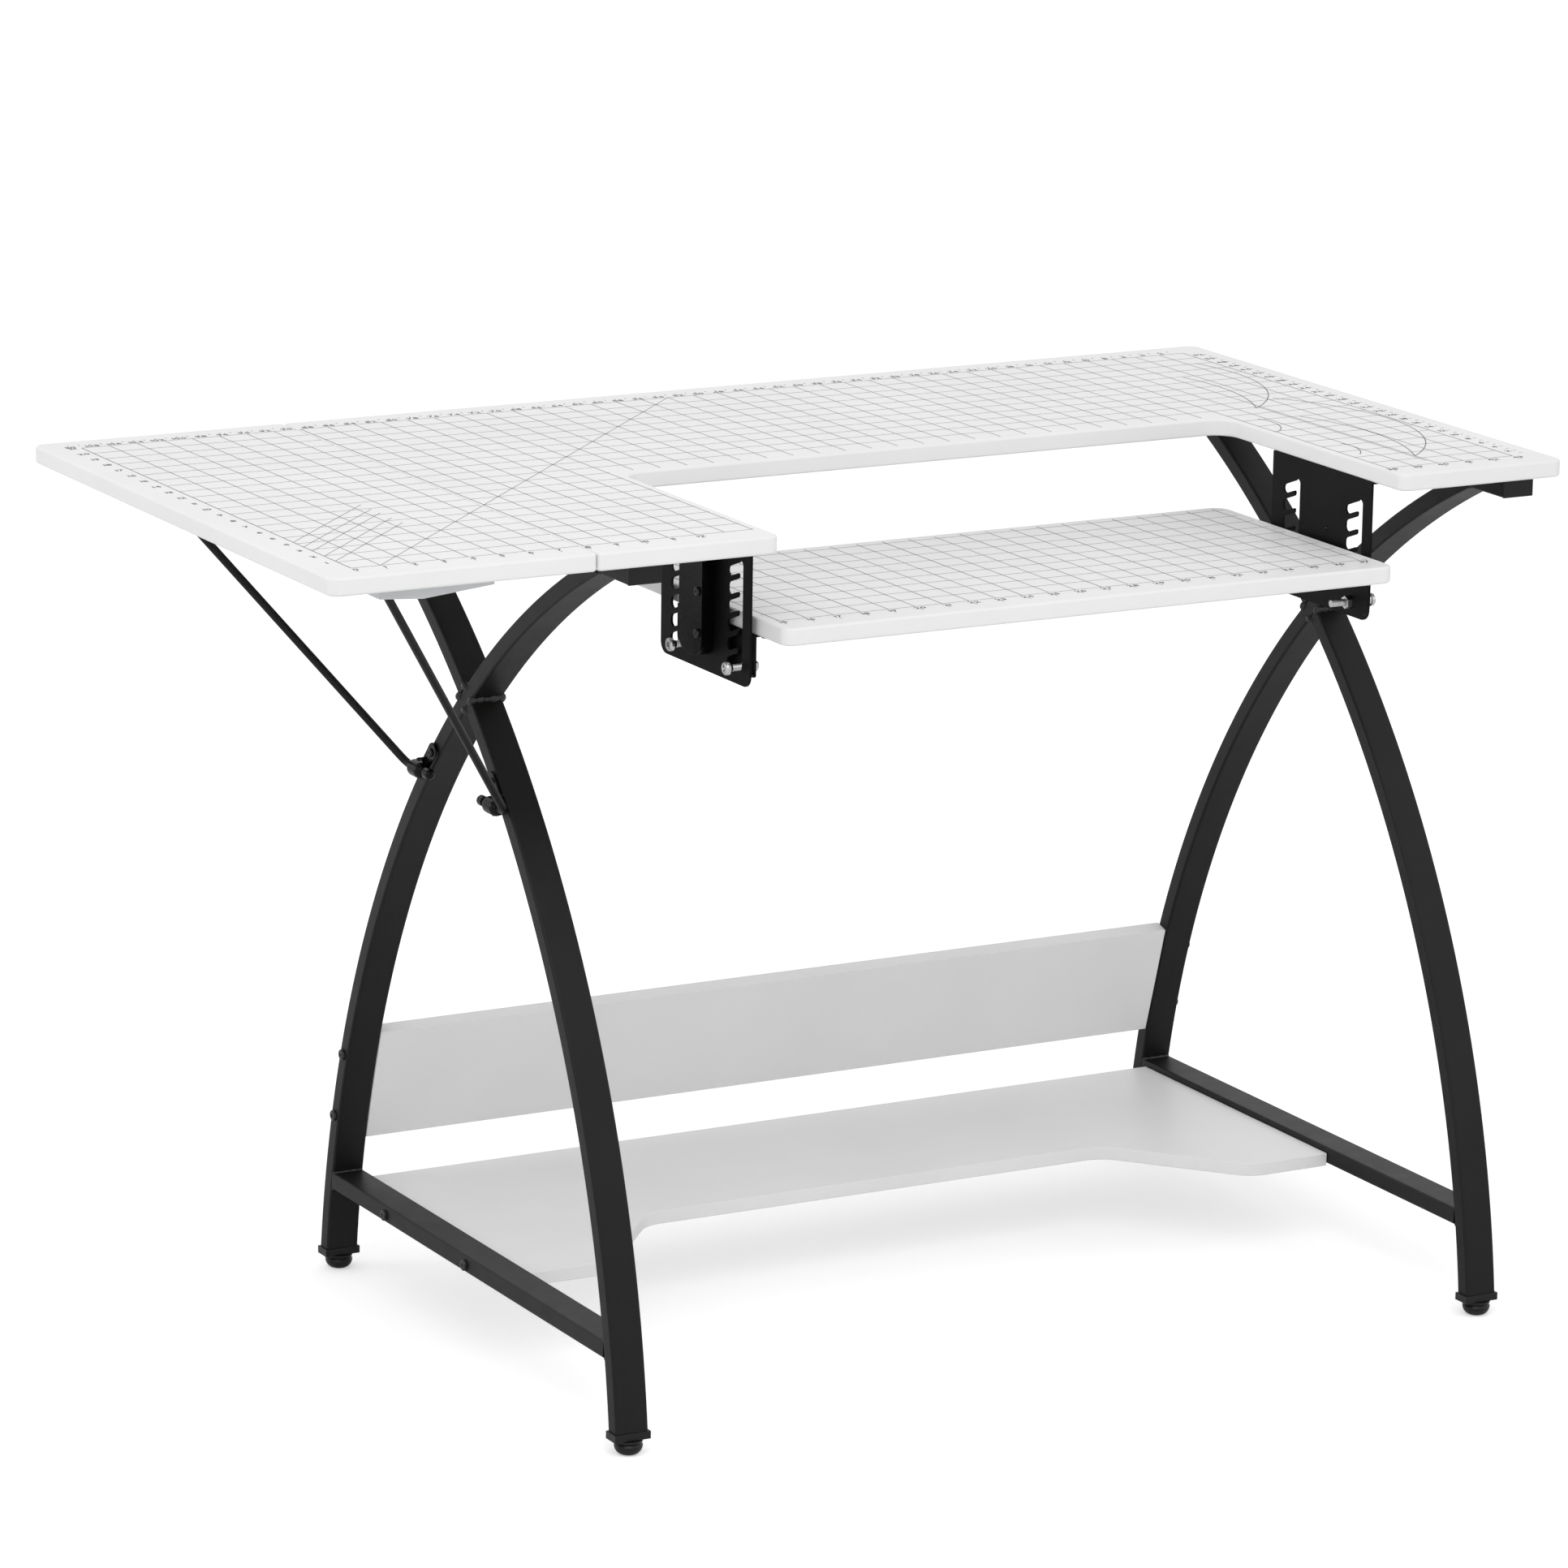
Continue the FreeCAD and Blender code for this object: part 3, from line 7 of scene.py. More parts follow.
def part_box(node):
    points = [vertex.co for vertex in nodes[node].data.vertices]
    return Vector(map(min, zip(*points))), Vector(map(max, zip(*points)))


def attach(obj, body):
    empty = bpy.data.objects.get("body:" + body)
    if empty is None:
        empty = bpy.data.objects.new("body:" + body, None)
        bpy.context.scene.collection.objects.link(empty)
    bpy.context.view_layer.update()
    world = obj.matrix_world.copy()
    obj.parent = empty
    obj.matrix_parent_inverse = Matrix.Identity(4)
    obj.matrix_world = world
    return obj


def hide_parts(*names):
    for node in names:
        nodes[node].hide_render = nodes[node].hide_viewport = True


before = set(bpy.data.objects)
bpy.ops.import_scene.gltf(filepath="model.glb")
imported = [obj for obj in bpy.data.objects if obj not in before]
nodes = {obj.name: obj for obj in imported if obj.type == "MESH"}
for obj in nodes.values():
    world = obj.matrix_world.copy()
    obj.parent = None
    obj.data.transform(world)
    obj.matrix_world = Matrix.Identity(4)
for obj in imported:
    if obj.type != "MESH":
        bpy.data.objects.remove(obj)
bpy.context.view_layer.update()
bpy.ops.object.select_all(action="DESELECT")
print("frame loaded:", len(nodes), "nodes")

# How near counts as the same place, in metres, and as facing a direction, as a cosine
near = {"merge": 0.00001, "cadMerge": 0.000002, "touch": 0.0001, "corner": 0.0005, "facing": 0.9,
        "along": 0.99, "flatDegrees": 1}


# Small helpers for working by operators

def only(obj):
    bpy.ops.object.select_all(action="DESELECT")
    obj.select_set(True)
    bpy.context.view_layer.objects.active = obj


def edit(obj):
    only(obj)
    bpy.ops.object.mode_set(mode="EDIT")
    bpy.ops.mesh.select_all(action="SELECT")


def leave():
    bpy.ops.object.mode_set(mode="OBJECT")


def settle(obj, name=None):        # the place goes into the mesh
    only(obj)
    bpy.ops.object.transform_apply(location=True, rotation=True, scale=True)
    if name:
        obj.name = name
        obj.data.name = name
    return obj


def choose(obj, kind, test):       # in edit mode: by place, and by normal or an edge's way
    bpy.ops.mesh.select_mode(type=kind)
    bpy.ops.mesh.select_all(action="DESELECT")
    shape = bmesh.from_edit_mesh(obj.data)
    items = {"VERT": shape.verts, "EDGE": shape.edges, "FACE": shape.faces}[kind]
    for item in items:
        if kind == "VERT":
            passes = test(item.co, item.normal)
        elif kind == "EDGE":
            way = item.verts[1].co - item.verts[0].co
            passes = test((item.verts[0].co + item.verts[1].co) / 2, way)
        else:
            passes = test(item.calc_center_median(), item.normal)
        item.select_set(bool(passes))
    shape.select_flush_mode()
    bmesh.update_edit_mesh(obj.data)


def cutOff(obj, point, normal):    # keep what lies behind the plane, closed
    edit(obj)
    bpy.ops.mesh.bisect(plane_co=point, plane_no=normal, use_fill=True, clear_outer=True)
    leave()


def faceOut(obj):
    edit(obj)
    bpy.ops.mesh.remove_doubles(threshold=near["merge"])
    bpy.ops.mesh.normals_make_consistent(inside=False)
    leave()


def drawOut(shift):                # extrude what is selected
    bpy.ops.mesh.extrude_region_move(TRANSFORM_OT_translate={"value": shift})


def bevelEdges(width, steps, profile=0.5):
    bpy.ops.mesh.bevel(affect="EDGES", offset=width, segments=steps, profile=profile)


def bevelPoints(width, steps):
    bpy.ops.mesh.bevel(affect="VERTICES", offset=width, segments=steps, profile=0.5)


def mergeFlat():                   # faces that lie in one plane, to a degree, become one
    bpy.ops.mesh.dissolve_limited(angle_limit=math.radians(near["flatDegrees"]))


def turnTo(way):                   # the turn that brings the Z axis to a direction
    return Vector(way).to_track_quat("Z", "Y").to_matrix().to_4x4()


def finishEdges(obj, width=0, steps=2, angle=35, smooth=40):
    only(obj)
    if width:
        soft = obj.modifiers.new("softEdges", "BEVEL")
        soft.width = width
        soft.segments = steps
        soft.limit_method = "ANGLE"
        soft.angle_limit = math.radians(angle)
        bpy.ops.object.modifier_apply(modifier=soft.name)
    bpy.ops.object.shade_smooth_by_angle(angle=math.radians(smooth))
    even = obj.modifiers.new("evenShading", "WEIGHTED_NORMAL")
    even.keep_sharp = True
    bpy.ops.object.modifier_apply(modifier=even.name)
    return obj


def combine(kind, obj, tool):      # boolean, applied, and the tool is used up
    only(obj)
    change = obj.modifiers.new("change", "BOOLEAN")
    change.operation = kind
    change.solver = "EXACT"
    change.object = tool
    bpy.ops.object.modifier_apply(modifier=change.name)
    bpy.data.objects.remove(tool)
    return obj


def copyOf(obj, place, name=None):
    made = obj.copy()
    made.data = obj.data.copy()
    made.data.transform(place)
    bpy.context.scene.collection.objects.link(made)
    if name:
        made.name = name
    return made


def joined(items, name):
    bpy.ops.object.select_all(action="DESELECT")
    for item in items:
        item.select_set(True)
    bpy.context.view_layer.objects.active = items[0]
    if len(items) > 1:
        bpy.ops.object.join()
    items[0].name = name
    items[0].data.name = name
    return items[0]


def barFrom(low, high, name):
    low, high = Vector(low), Vector(high)
    bpy.ops.mesh.primitive_cube_add(size=1, location=(low + high) / 2)
    obj = bpy.context.object
    obj.scale = high - low
    return settle(obj, name)


def rodAlong(start, way, length, radius, sides, name):
    way = Vector(way).normalized()
    bpy.ops.mesh.primitive_cylinder_add(vertices=sides, radius=radius, depth=length)
    obj = bpy.context.object
    obj.matrix_world = Matrix.Translation(Vector(start) + way * length / 2) @ turnTo(way)
    return settle(obj, name)


def keep(obj, body, slot, finish, *stands):
    obj.data.materials.clear()
    obj.data.materials.append(finish)
    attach(obj, body)
    if stands:
        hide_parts(*stands)
    return obj


# Finishes: a noisy tone between two colours, a noisy roughness and a fine bump

cloud = {"low": 0.3, "high": 0.7, "detail": 3, "grainDetail": 4, "roughScale": 3}


def finishOf(name, look):
    made = bpy.data.materials.new(name)
    made.use_nodes = True
    tree, link = made.node_tree.nodes, made.node_tree.links.new
    shader = tree["Principled BSDF"]
    shader.inputs["Metallic"].default_value = look.get("metal", 0)
    shader.inputs["IOR"].default_value = 1.5
    shader.inputs["Specular IOR Level"].default_value = look.get("spec", 0.5)
    spot = tree.new("ShaderNodeTexCoord")

    def noise(scale, detail, target):
        specks = tree.new("ShaderNodeTexNoise")
        specks.inputs["Scale"].default_value = scale
        specks.inputs["Detail"].default_value = detail
        link(spot.outputs["Object"], specks.inputs["Vector"])
        link(specks.outputs["Fac"], target)

    tone = tree.new("ShaderNodeValToRGB")
    for i, (stop, shade) in enumerate((("low", "dark"), ("high", "light"))):
        tone.color_ramp.elements[i].position = cloud[stop]
        tone.color_ramp.elements[i].color = [*look[shade], 1]
    noise(look["patch"], cloud["detail"], tone.inputs["Fac"])
    link(tone.outputs["Color"], shader.inputs["Base Color"])
    rough = tree.new("ShaderNodeMapRange")
    rough.inputs["To Min"].default_value = look["rough"][0]
    rough.inputs["To Max"].default_value = look["rough"][1]
    noise(look["patch"] * cloud["roughScale"], cloud["detail"], rough.inputs["Value"])
    link(rough.outputs["Result"], shader.inputs["Roughness"])
    bump = tree.new("ShaderNodeBump")
    bump.inputs["Strength"].default_value = look["bump"]
    bump.inputs["Distance"].default_value = look["depth"]
    noise(look["grain"], cloud["grainDetail"], bump.inputs["Height"])
    link(bump.outputs["Normal"], shader.inputs["Normal"])
    return made


looks = {
    "whiteLaminate": {"dark": (0.80, 0.805, 0.80), "light": (0.83, 0.835, 0.83), "patch": 9,
                      "spec": 0.28, "rough": (0.36, 0.44), "grain": 900, "bump": 0.12,
                      "depth": 0.0001},
    "blackPowder": {"dark": (0.0050, 0.0049, 0.0049), "light": (0.0072, 0.0070, 0.0069), "patch": 14,
                    "spec": 0.22, "rough": (0.42, 0.52), "grain": 1500, "bump": 0.35,
                    "depth": 0.00012},
    "blackSheet": {"dark": (0.0028, 0.0028, 0.0028), "light": (0.0042, 0.0041, 0.0040), "patch": 18,
                   "spec": 0.09, "rough": (0.44, 0.56), "grain": 1700, "bump": 0.3, "depth": 0.0001},
    "blackPlastic": {"dark": (0.0045, 0.0045, 0.0046), "light": (0.0064, 0.0064, 0.0065), "patch": 30,
                     "spec": 0.3, "rough": (0.30, 0.42), "grain": 1200, "bump": 0.15,
                     "depth": 0.0001},
    "glossyBlack": {"dark": (0.0016, 0.0016, 0.0017), "light": (0.0028, 0.0028, 0.0028), "patch": 60,
                    "spec": 0.16, "rough": (0.10, 0.20), "grain": 260, "bump": 0.12, "depth": 0.0002},
    "blockBlack": {"dark": (0.0014, 0.0014, 0.0015), "light": (0.0022, 0.0022, 0.0022), "patch": 60,
                   "spec": 0.11, "rough": (0.22, 0.32), "grain": 500, "bump": 0.12, "depth": 0.0001},
    "weldBlack": {"dark": (0.006, 0.006, 0.006), "light": (0.010, 0.010, 0.0098), "patch": 300,
                  "spec": 0.5, "rough": (0.22, 0.36), "grain": 1300, "bump": 0.5, "depth": 0.0003},
    "greyPlastic": {"dark": (0.56, 0.575, 0.59), "light": (0.62, 0.63, 0.645), "patch": 25,
                    "rough": (0.38, 0.48), "grain": 1000, "bump": 0.12, "depth": 0.0001},
    "blackRod": {"dark": (0.0060, 0.0058, 0.0056), "light": (0.0090, 0.0088, 0.0086), "patch": 40,
                 "spec": 0.2, "rough": (0.34, 0.46), "grain": 1600, "bump": 0.25, "depth": 0.0001},
    "zincSteel": {"dark": (0.50, 0.505, 0.51), "light": (0.66, 0.66, 0.655), "patch": 160, "metal": 1,
                  "rough": (0.24, 0.38), "grain": 1400, "bump": 0.15, "depth": 0.0001},
    "blackScrew": {"dark": (0.006, 0.006, 0.006), "light": (0.012, 0.012, 0.0122), "patch": 200,
                   "spec": 0.4, "rough": (0.28, 0.40), "grain": 1400, "bump": 0.15, "depth": 0.0001},
    "printInk": {"dark": (0.030, 0.030, 0.032), "light": (0.055, 0.055, 0.057), "patch": 120,
                 "rough": (0.40, 0.50), "grain": 1200, "bump": 0.1, "depth": 0.00005},
    "printFine": {"dark": (0.085, 0.085, 0.088), "light": (0.12, 0.12, 0.124), "patch": 120,
                  "rough": (0.40, 0.50), "grain": 1200, "bump": 0.1, "depth": 0.00005},
}
finishes = {name: finishOf(name, look) for name, look in looks.items()}
print("finishes:", len(finishes))


# White boards: a plane cut and rounded in plan, drawn up to its thickness, soft at the rims

boards = {"sink": 0.00015, "edge": 0.0022, "edgeSteps": 4, "sharp": 60, "corner": 0.004,
          "cornerSteps": 5, "frontCorner": 0.010, "opening": 0.020, "openingSteps": 12,
          "platformRear": 0.015, "behindPlatform": 0.005, "shelfEdge": 0.0012}


def planeFrom(low, high, name):
    middle = (low + high) / 2
    bpy.ops.mesh.primitive_plane_add(size=1, location=(middle.x, middle.y, low.z))
    obj = bpy.context.object
    obj.scale = (high.x - low.x, high.y - low.y, 1)
    return settle(obj, name)


def roundPlan(obj, spot, offset, steps=8):
    edit(obj)
    choose(obj, "VERT",
           lambda at, way: math.hypot(at.x - spot[0], at.y - spot[1]) < near["corner"])
    bevelPoints(offset, steps)
    leave()


def drawUp(obj, thick, edge):
    edit(obj)
    drawOut((0, 0, thick))
    leave()
    faceOut(obj)
    return finishEdges(obj, edge, boards["edgeSteps"], angle=boards["sharp"])


topLow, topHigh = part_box("main_top")
leafLow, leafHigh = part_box("drop_leaf")
gearLow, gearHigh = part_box("platform")
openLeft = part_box("left_toothed_bracket")[1].x
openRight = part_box("right_toothed_bracket")[0].x
openRear = gearHigh.y + boards["behindPlatform"]

mainTop = planeFrom(topLow, topHigh, "main_top_board")
edit(mainTop)
for point, normal in (((openLeft, 0, 0), (1, 0, 0)), ((openRight, 0, 0), (1, 0, 0)),
                      ((0, openRear, 0), (0, 1, 0))):
    bpy.ops.mesh.select_all(action="SELECT")
    bpy.ops.mesh.bisect(plane_co=point, plane_no=normal)
choose(mainTop, "FACE", lambda at, way: openLeft < at.x < openRight and at.y < openRear)
bpy.ops.mesh.delete(type="FACE")
bpy.ops.mesh.select_all(action="SELECT")
mergeFlat()
leave()
for across in (openLeft, openRight):
    roundPlan(mainTop, (across, openRear), boards["opening"], boards["openingSteps"])
    roundPlan(mainTop, (across, topLow.y), boards["frontCorner"])
for along in (topLow.y, topHigh.y):
    roundPlan(mainTop, (topHigh.x, along), boards["frontCorner"])
    roundPlan(mainTop, (topLow.x, along), boards["corner"], boards["cornerSteps"])
drawUp(mainTop, topHigh.z - topLow.z - boards["sink"], boards["edge"])
keep(mainTop, "frame", "white_board", finishes["whiteLaminate"], "main_top")

leaf = planeFrom(leafLow, leafHigh, "drop_leaf_board")
for along in (leafLow.y, leafHigh.y):
    roundPlan(leaf, (leafLow.x, along), boards["frontCorner"])
    roundPlan(leaf, (leafHigh.x, along), boards["corner"], boards["cornerSteps"])
drawUp(leaf, leafHigh.z - leafLow.z - boards["sink"], boards["edge"])
keep(leaf, "leaf", "white_board", finishes["whiteLaminate"], "drop_leaf")

platform = planeFrom(gearLow, gearHigh, "platform_board")
for across in (gearLow.x, gearHigh.x):
    roundPlan(platform, (across, gearLow.y), boards["frontCorner"])
    roundPlan(platform, (across, gearHigh.y), boards["platformRear"])
drawUp(platform, gearHigh.z - gearLow.z - boards["sink"], boards["edge"])
keep(platform, "platform", "white_board", finishes["whiteLaminate"], "platform")

shelfPlan = {"ear": 0.080, "recess": 0.172, "recessDeep": 0.108, "round": 0.030,
             "roundSteps": 6}
shelfLow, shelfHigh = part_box("shelf")
shelf = planeFrom(shelfLow, shelfHigh, "storage_shelf")
turns = (shelfLow.x + shelfPlan["ear"], shelfLow.x + shelfPlan["recess"],
         shelfHigh.x - shelfPlan["recess"], shelfHigh.x - shelfPlan["ear"])
edit(shelf)
for across in turns:
    bpy.ops.mesh.select_all(action="SELECT")
    bpy.ops.mesh.bisect(plane_co=(across, 0, 0), plane_no=(1, 0, 0))
choose(shelf, "VERT", lambda at, way: turns[0] + near["corner"] < at.x < turns[3] - near["corner"]
       and at.y < shelfLow.y + near["corner"])
bpy.ops.transform.translate(value=(0, shelfPlan["recessDeep"], 0))
bpy.ops.mesh.select_all(action="SELECT")
mergeFlat()
leave()
bend = math.atan2(shelfPlan["recessDeep"], shelfPlan["recess"] - shelfPlan["ear"])
for across, along in ((turns[0], 0), (turns[1], 1), (turns[2], 1), (turns[3], 0)):
    roundPlan(shelf, (across, shelfLow.y + along * shelfPlan["recessDeep"]),
              shelfPlan["round"] * math.tan(bend / 2), shelfPlan["roundSteps"])
drawUp(shelf, shelfHigh.z - shelfLow.z, boards["shelfEdge"])
keep(shelf, "frame", "white_board", finishes["whiteLaminate"], "shelf")

panelPlan = {"thick": 0.015, "tall": 0.108, "lean": 16.5, "edge": 0.0012, "edgeSteps": 3}
panelLow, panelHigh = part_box("back_panel")
panelMiddle = (panelLow + panelHigh) / 2
half = Vector((panelHigh.x - panelLow.x, panelPlan["thick"], panelPlan["tall"])) / 2
backPanel = barFrom(-half, half, "rear_panel_board")
backPanel.rotation_euler = (math.radians(panelPlan["lean"]), 0, 0)
backPanel.location = panelMiddle
settle(backPanel)
finishEdges(backPanel, panelPlan["edge"], panelPlan["edgeSteps"])
keep(backPanel, "frame", "white_board", finishes["whiteLaminate"], "back_panel")
print("boards ready")


# Printed measure: thin ink strips and digits, each modelled once and copied over the boards

ink = {"pitch": 0.0254, "columns": 43, "rows": 21, "fine": 0.00048, "column": 0.00064, "firm": 0.0008,
       "thick": 0.00018, "clear": 0.008, "numberDrop": 0.0062, "tickDrop": 0.0098, "tick": 0.0042,
       "leftNumber": 0.0090, "digit": 0.0080, "wide": 1.32, "bold": 0.00009, "gap": 0.0008,
       "heavyEach": 3, "lastLeft": 12, "shift": 0.001, "seamClear": 0.0012,
       "sink": 0.00002, "sinkAcross": 0.00003}
inkLeft = leafLow.x + (topHigh.x - leafLow.x - ink["columns"] * ink["pitch"]) / 2
inkFront = leafLow.y + (leafHigh.y - leafLow.y - ink["rows"] * ink["pitch"]) / 2
inkRight = inkLeft + ink["columns"] * ink["pitch"]
inkRear = inkFront + ink["rows"] * ink["pitch"]
seam = (leafHigh.x + topLow.x) / 2

bpy.ops.mesh.primitive_plane_add(size=1)
stripe = settle(bpy.context.object, "stripe")
edit(stripe)
drawOut((0, 0, -ink["thick"]))
leave()
faceOut(stripe)

digits, digitWide = {}, {}
for mark in "0123456789":
    bpy.ops.object.text_add()
    text = bpy.context.object
    text.data.body = mark
    text.data.size = ink["digit"]
    text.data.resolution_u = 2
    text.data.extrude = ink["thick"] / 2
    text.data.offset = ink["bold"]
    only(text)
    bpy.ops.object.convert(target="MESH")
    digit = settle(bpy.context.object, "digit" + mark)
    across = [point.co.x for point in digit.data.vertices]
    tall = [point.co.y for point in digit.data.vertices]
    digit.data.transform(Matrix.Diagonal((ink["wide"], 1, 1, 1)) @ Matrix.Translation(
        (-min(across), -(min(tall) + max(tall)) / 2, -ink["thick"] / 2)))
    digits[mark] = digit
    digitWide[mark] = (max(across) - min(across)) * ink["wide"]


def boardOf(x, y):                      # which board carries a point of the measure
    if x < seam:
        return "leaf"
    if openLeft < x < openRight and y < openRear:
        return "platform"
    return "main"


inkTop = {"leaf": leafHigh.z, "main": topHigh.z, "platform": gearHigh.z}
inkItems = {"leaf": [], "main": [], "platform": []}
numberItems = {"leaf": [], "main": [], "platform": []}


def line(board, start, end, width, dark=False):
    start, end = Vector((*start, 0)), Vector((*end, 0))
    way = end - start
    middle = (start + end) / 2
    # lines from left to right lie a little deeper than those that they cross
    low = ink["sinkAcross"] if abs(way.y) < abs(way.x) / 2 else ink["sink"]
    place = (Matrix.Translation((middle.x, middle.y, inkTop[board] - low))
             @ Matrix.Rotation(math.atan2(way.y, way.x), 4, "Z")
             @ Matrix.Diagonal((way.length, width, 1, 1)))
    (numberItems if dark else inkItems)[board].append(copyOf(stripe, place))


def number(value, x, y, board=None):
    marks = str(value)
    wide = sum(digitWide[mark] for mark in marks) + ink["gap"] * (len(marks) - 1)
    board = board or boardOf(x, y)
    x -= wide / 2
    for mark in marks:
        spot = Matrix.Translation((x, y, inkTop[board] - ink["sink"]))
        numberItems[board].append(copyOf(digits[mark], spot))
        x += digitWide[mark] + ink["gap"]


margin = ink["clear"]
armLeft, armRight, bayRear = openLeft - margin, openRight + margin / 2, openRear + margin
deckLeft, deckRight, deckRear = gearLow.x + margin, gearHigh.x - margin, gearHigh.y - margin
for i in range(ink["columns"] + 1):     # inch lines from front to rear
    x = inkLeft + i * ink["pitch"]
    width = ink["firm"] if i in (0, ink["columns"]) else ink["column"]
    heavy = ink["firm"] if i % ink["heavyEach"] == 0 else ink["column"]
    onDeck = deckLeft < x < deckRight
    if x < armLeft or x > openRight:
        line(boardOf(x, inkFront), (x, inkFront), (x, inkRear), width)
    else:
        line("main", (x, bayRear), (x, inkRear), width)
    if onDeck:
        line("platform", (x, inkFront), (x, deckRear), heavy)
    if i <= ink["lastLeft"] or onDeck or x > openRight:
        board = "platform" if onDeck else boardOf(x, inkFront)
        number(i, x + ink["shift"], inkFront - ink["numberDrop"], board)
        line(board, (x, inkFront - ink["tickDrop"]),
             (x, inkFront - ink["tickDrop"] - ink["tick"]), ink["fine"])
for i in range(ink["rows"] + 1):        # inch lines from left to right
    y = inkFront + i * ink["pitch"]
    line("leaf", (inkLeft, y), (leafHigh.x - ink["seamClear"], y), ink["fine"])
    if y < bayRear:
        line("main", (topLow.x + ink["seamClear"], y), (armLeft, y), ink["fine"])
        line("main", (armRight, y), (inkRight, y), ink["fine"])
    else:
        line("main", (topLow.x + ink["seamClear"], y), (inkRight, y), ink["fine"])
    if y < deckRear:
        line("platform", (deckLeft, y), (deckRight, y), ink["fine"])
    if i > 0:
        number(i, inkLeft - ink["leftNumber"], y)

metric = {"step": 0.01, "rearNumber": 0.0055, "rearTick": 0.0092, "tick": 0.0035,
          "sideNumber": 0.0085, "sideTick": 0.0135, "rearCount": 110, "sideCount": 52,
          "tickOffSeam": 0.002, "numberOffSeam": 0.006}
for i in range(1, metric["rearCount"] + 1):     # centimetres along the rear
    x = inkRight - i * metric["step"]
    if abs(x - seam) > metric["tickOffSeam"]:
        y = inkRear + metric["rearTick"]
        line("leaf" if x < seam else "main", (x, y), (x, y + metric["tick"]), ink["fine"])
    if i % 2 == 0 and abs(x - seam) > metric["numberOffSeam"]:
        number(i, x, inkRear + metric["rearNumber"])
for i in range(1, metric["sideCount"] + 1):     # and up the right side
    y = inkFront + i * metric["step"]
    x = inkRight + metric["sideTick"]
    line("main", (x, y), (x + metric["tick"], y), ink["fine"])
    if i % 2 == 0:
        number(i, inkRight + metric["sideNumber"], y)

slants = {"starts": (0.0606, 0.0813, 0.1029, 0.1197, 0.1393), "long": 0.112}
for start in slants["starts"]:          # parallel lines at 45 degrees beside the left border
    y = leafLow.y + start
    line("leaf", (inkLeft, y), (inkLeft + slants["long"], y + slants["long"]), ink["fine"], True)
first = inkLeft + ink["pitch"]          # one long line at 45 degrees over both boards
reach = seam - ink["seamClear"] - first
line("leaf", (first, inkFront), (first + reach, inkFront + reach), ink["fine"], True)
reach = seam + ink["seamClear"] - first
line("main", (first + reach, inkFront + reach), (first + inkRear - inkFront, inkRear),
     ink["fine"], True)

# Guides on the right arm, from the leaf's left front corner. Straight: across, near end, far end.
# Arcs: the centre across and along, the radius, and the first and last degree
guides = {"steps": 28, "straight": (1.045, 0.0446, 0.3100),
          "arcs": ((0.9243, 0.2207, 0.1975, -51.3, 38), (0.8384, 0.1713, 0.2340, -26.5, 22),
                   (0.9173, 0.4617, 0.1975, -51.3, 16), (0.8314, 0.4123, 0.2340, -26.5, 12),
                   (0.9718, 0.1269, 0.0506, -42.5, 15), (0.9673, 0.2472, 0.0512, -51.2, 20))}
across, low, high = guides["straight"]
line("main", (leafLow.x + across, leafLow.y + low), (leafLow.x + across, leafLow.y + high),
     ink["fine"], True)
for across, along, radius, low, high in guides["arcs"]:
    centre = Vector((leafLow.x + across, leafLow.y + along))
    last = None
    for i in range(guides["steps"] + 1):
        angle = math.radians(low + (high - low) * i / guides["steps"])
        spot = centre + Vector((math.cos(angle), math.sin(angle))) * radius
        if last:
            line("main", last, spot, ink["firm"], True)
        last = spot

for board, body in (("leaf", "leaf"), ("main", "frame"), ("platform", "platform")):
    keep(joined(inkItems[board], board + "_printed_lines"), body, "white_board", finishes["printFine"])
    keep(joined(numberItems[board], board + "_printed_numbers"), body, "white_board",
         finishes["printInk"])
for item in (stripe, *digits.values()):
    bpy.data.objects.remove(item)
print("printed measure ready")


# End frames: a rounded tube section spun along each leg's bend, cut at its ends

tube = {"wide": 0.030, "deep": 0.015, "corner": 0.0022, "bend": 0.8975, "foot": 0.2794,
        "top": -0.2246, "bottom": 0.017, "sweep": 66, "cornerSteps": 4, "weld": 0.0001,
        "footRailShort": 0.0015}
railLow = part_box("left_top_rail")[0]
rise = railLow.z - tube["bottom"]
run = tube["foot"] - tube["top"]
chord = math.hypot(rise, run)
arrow = math.sqrt(tube["bend"] ** 2 - chord ** 2 / 4)
bendAcross = (tube["foot"] + tube["top"]) / 2 - arrow * rise / chord
bendUp = (railLow.z + tube["bottom"]) / 2 - arrow * run / chord


def legTube(name, across, side):        # side 1: foot at the rear; -1: foot at the front
    centre = (across, side * bendAcross, bendUp)
    bpy.ops.mesh.primitive_plane_add(
        size=1, location=(across, side * (bendAcross + tube["bend"]), bendUp))
    obj = bpy.context.object
    obj.scale = (tube["wide"], tube["deep"], 1)
    settle(obj, name)
    edit(obj)
    bpy.ops.mesh.select_mode(type="VERT")
    bevelPoints(tube["corner"], tube["cornerSteps"])
    bpy.ops.mesh.select_all(action="SELECT")
    # a step for each degree
    bpy.ops.mesh.spin(steps=tube["sweep"], angle=math.radians(-side * tube["sweep"]), center=centre,
                      axis=(1, 0, 0))
    leave()
    faceOut(obj)
    cutOff(obj, (across, 0, railLow.z), (0, 0, 1))
    cutOff(obj, (across, 0, tube["bottom"]), (0, 0, -1))
    return obj


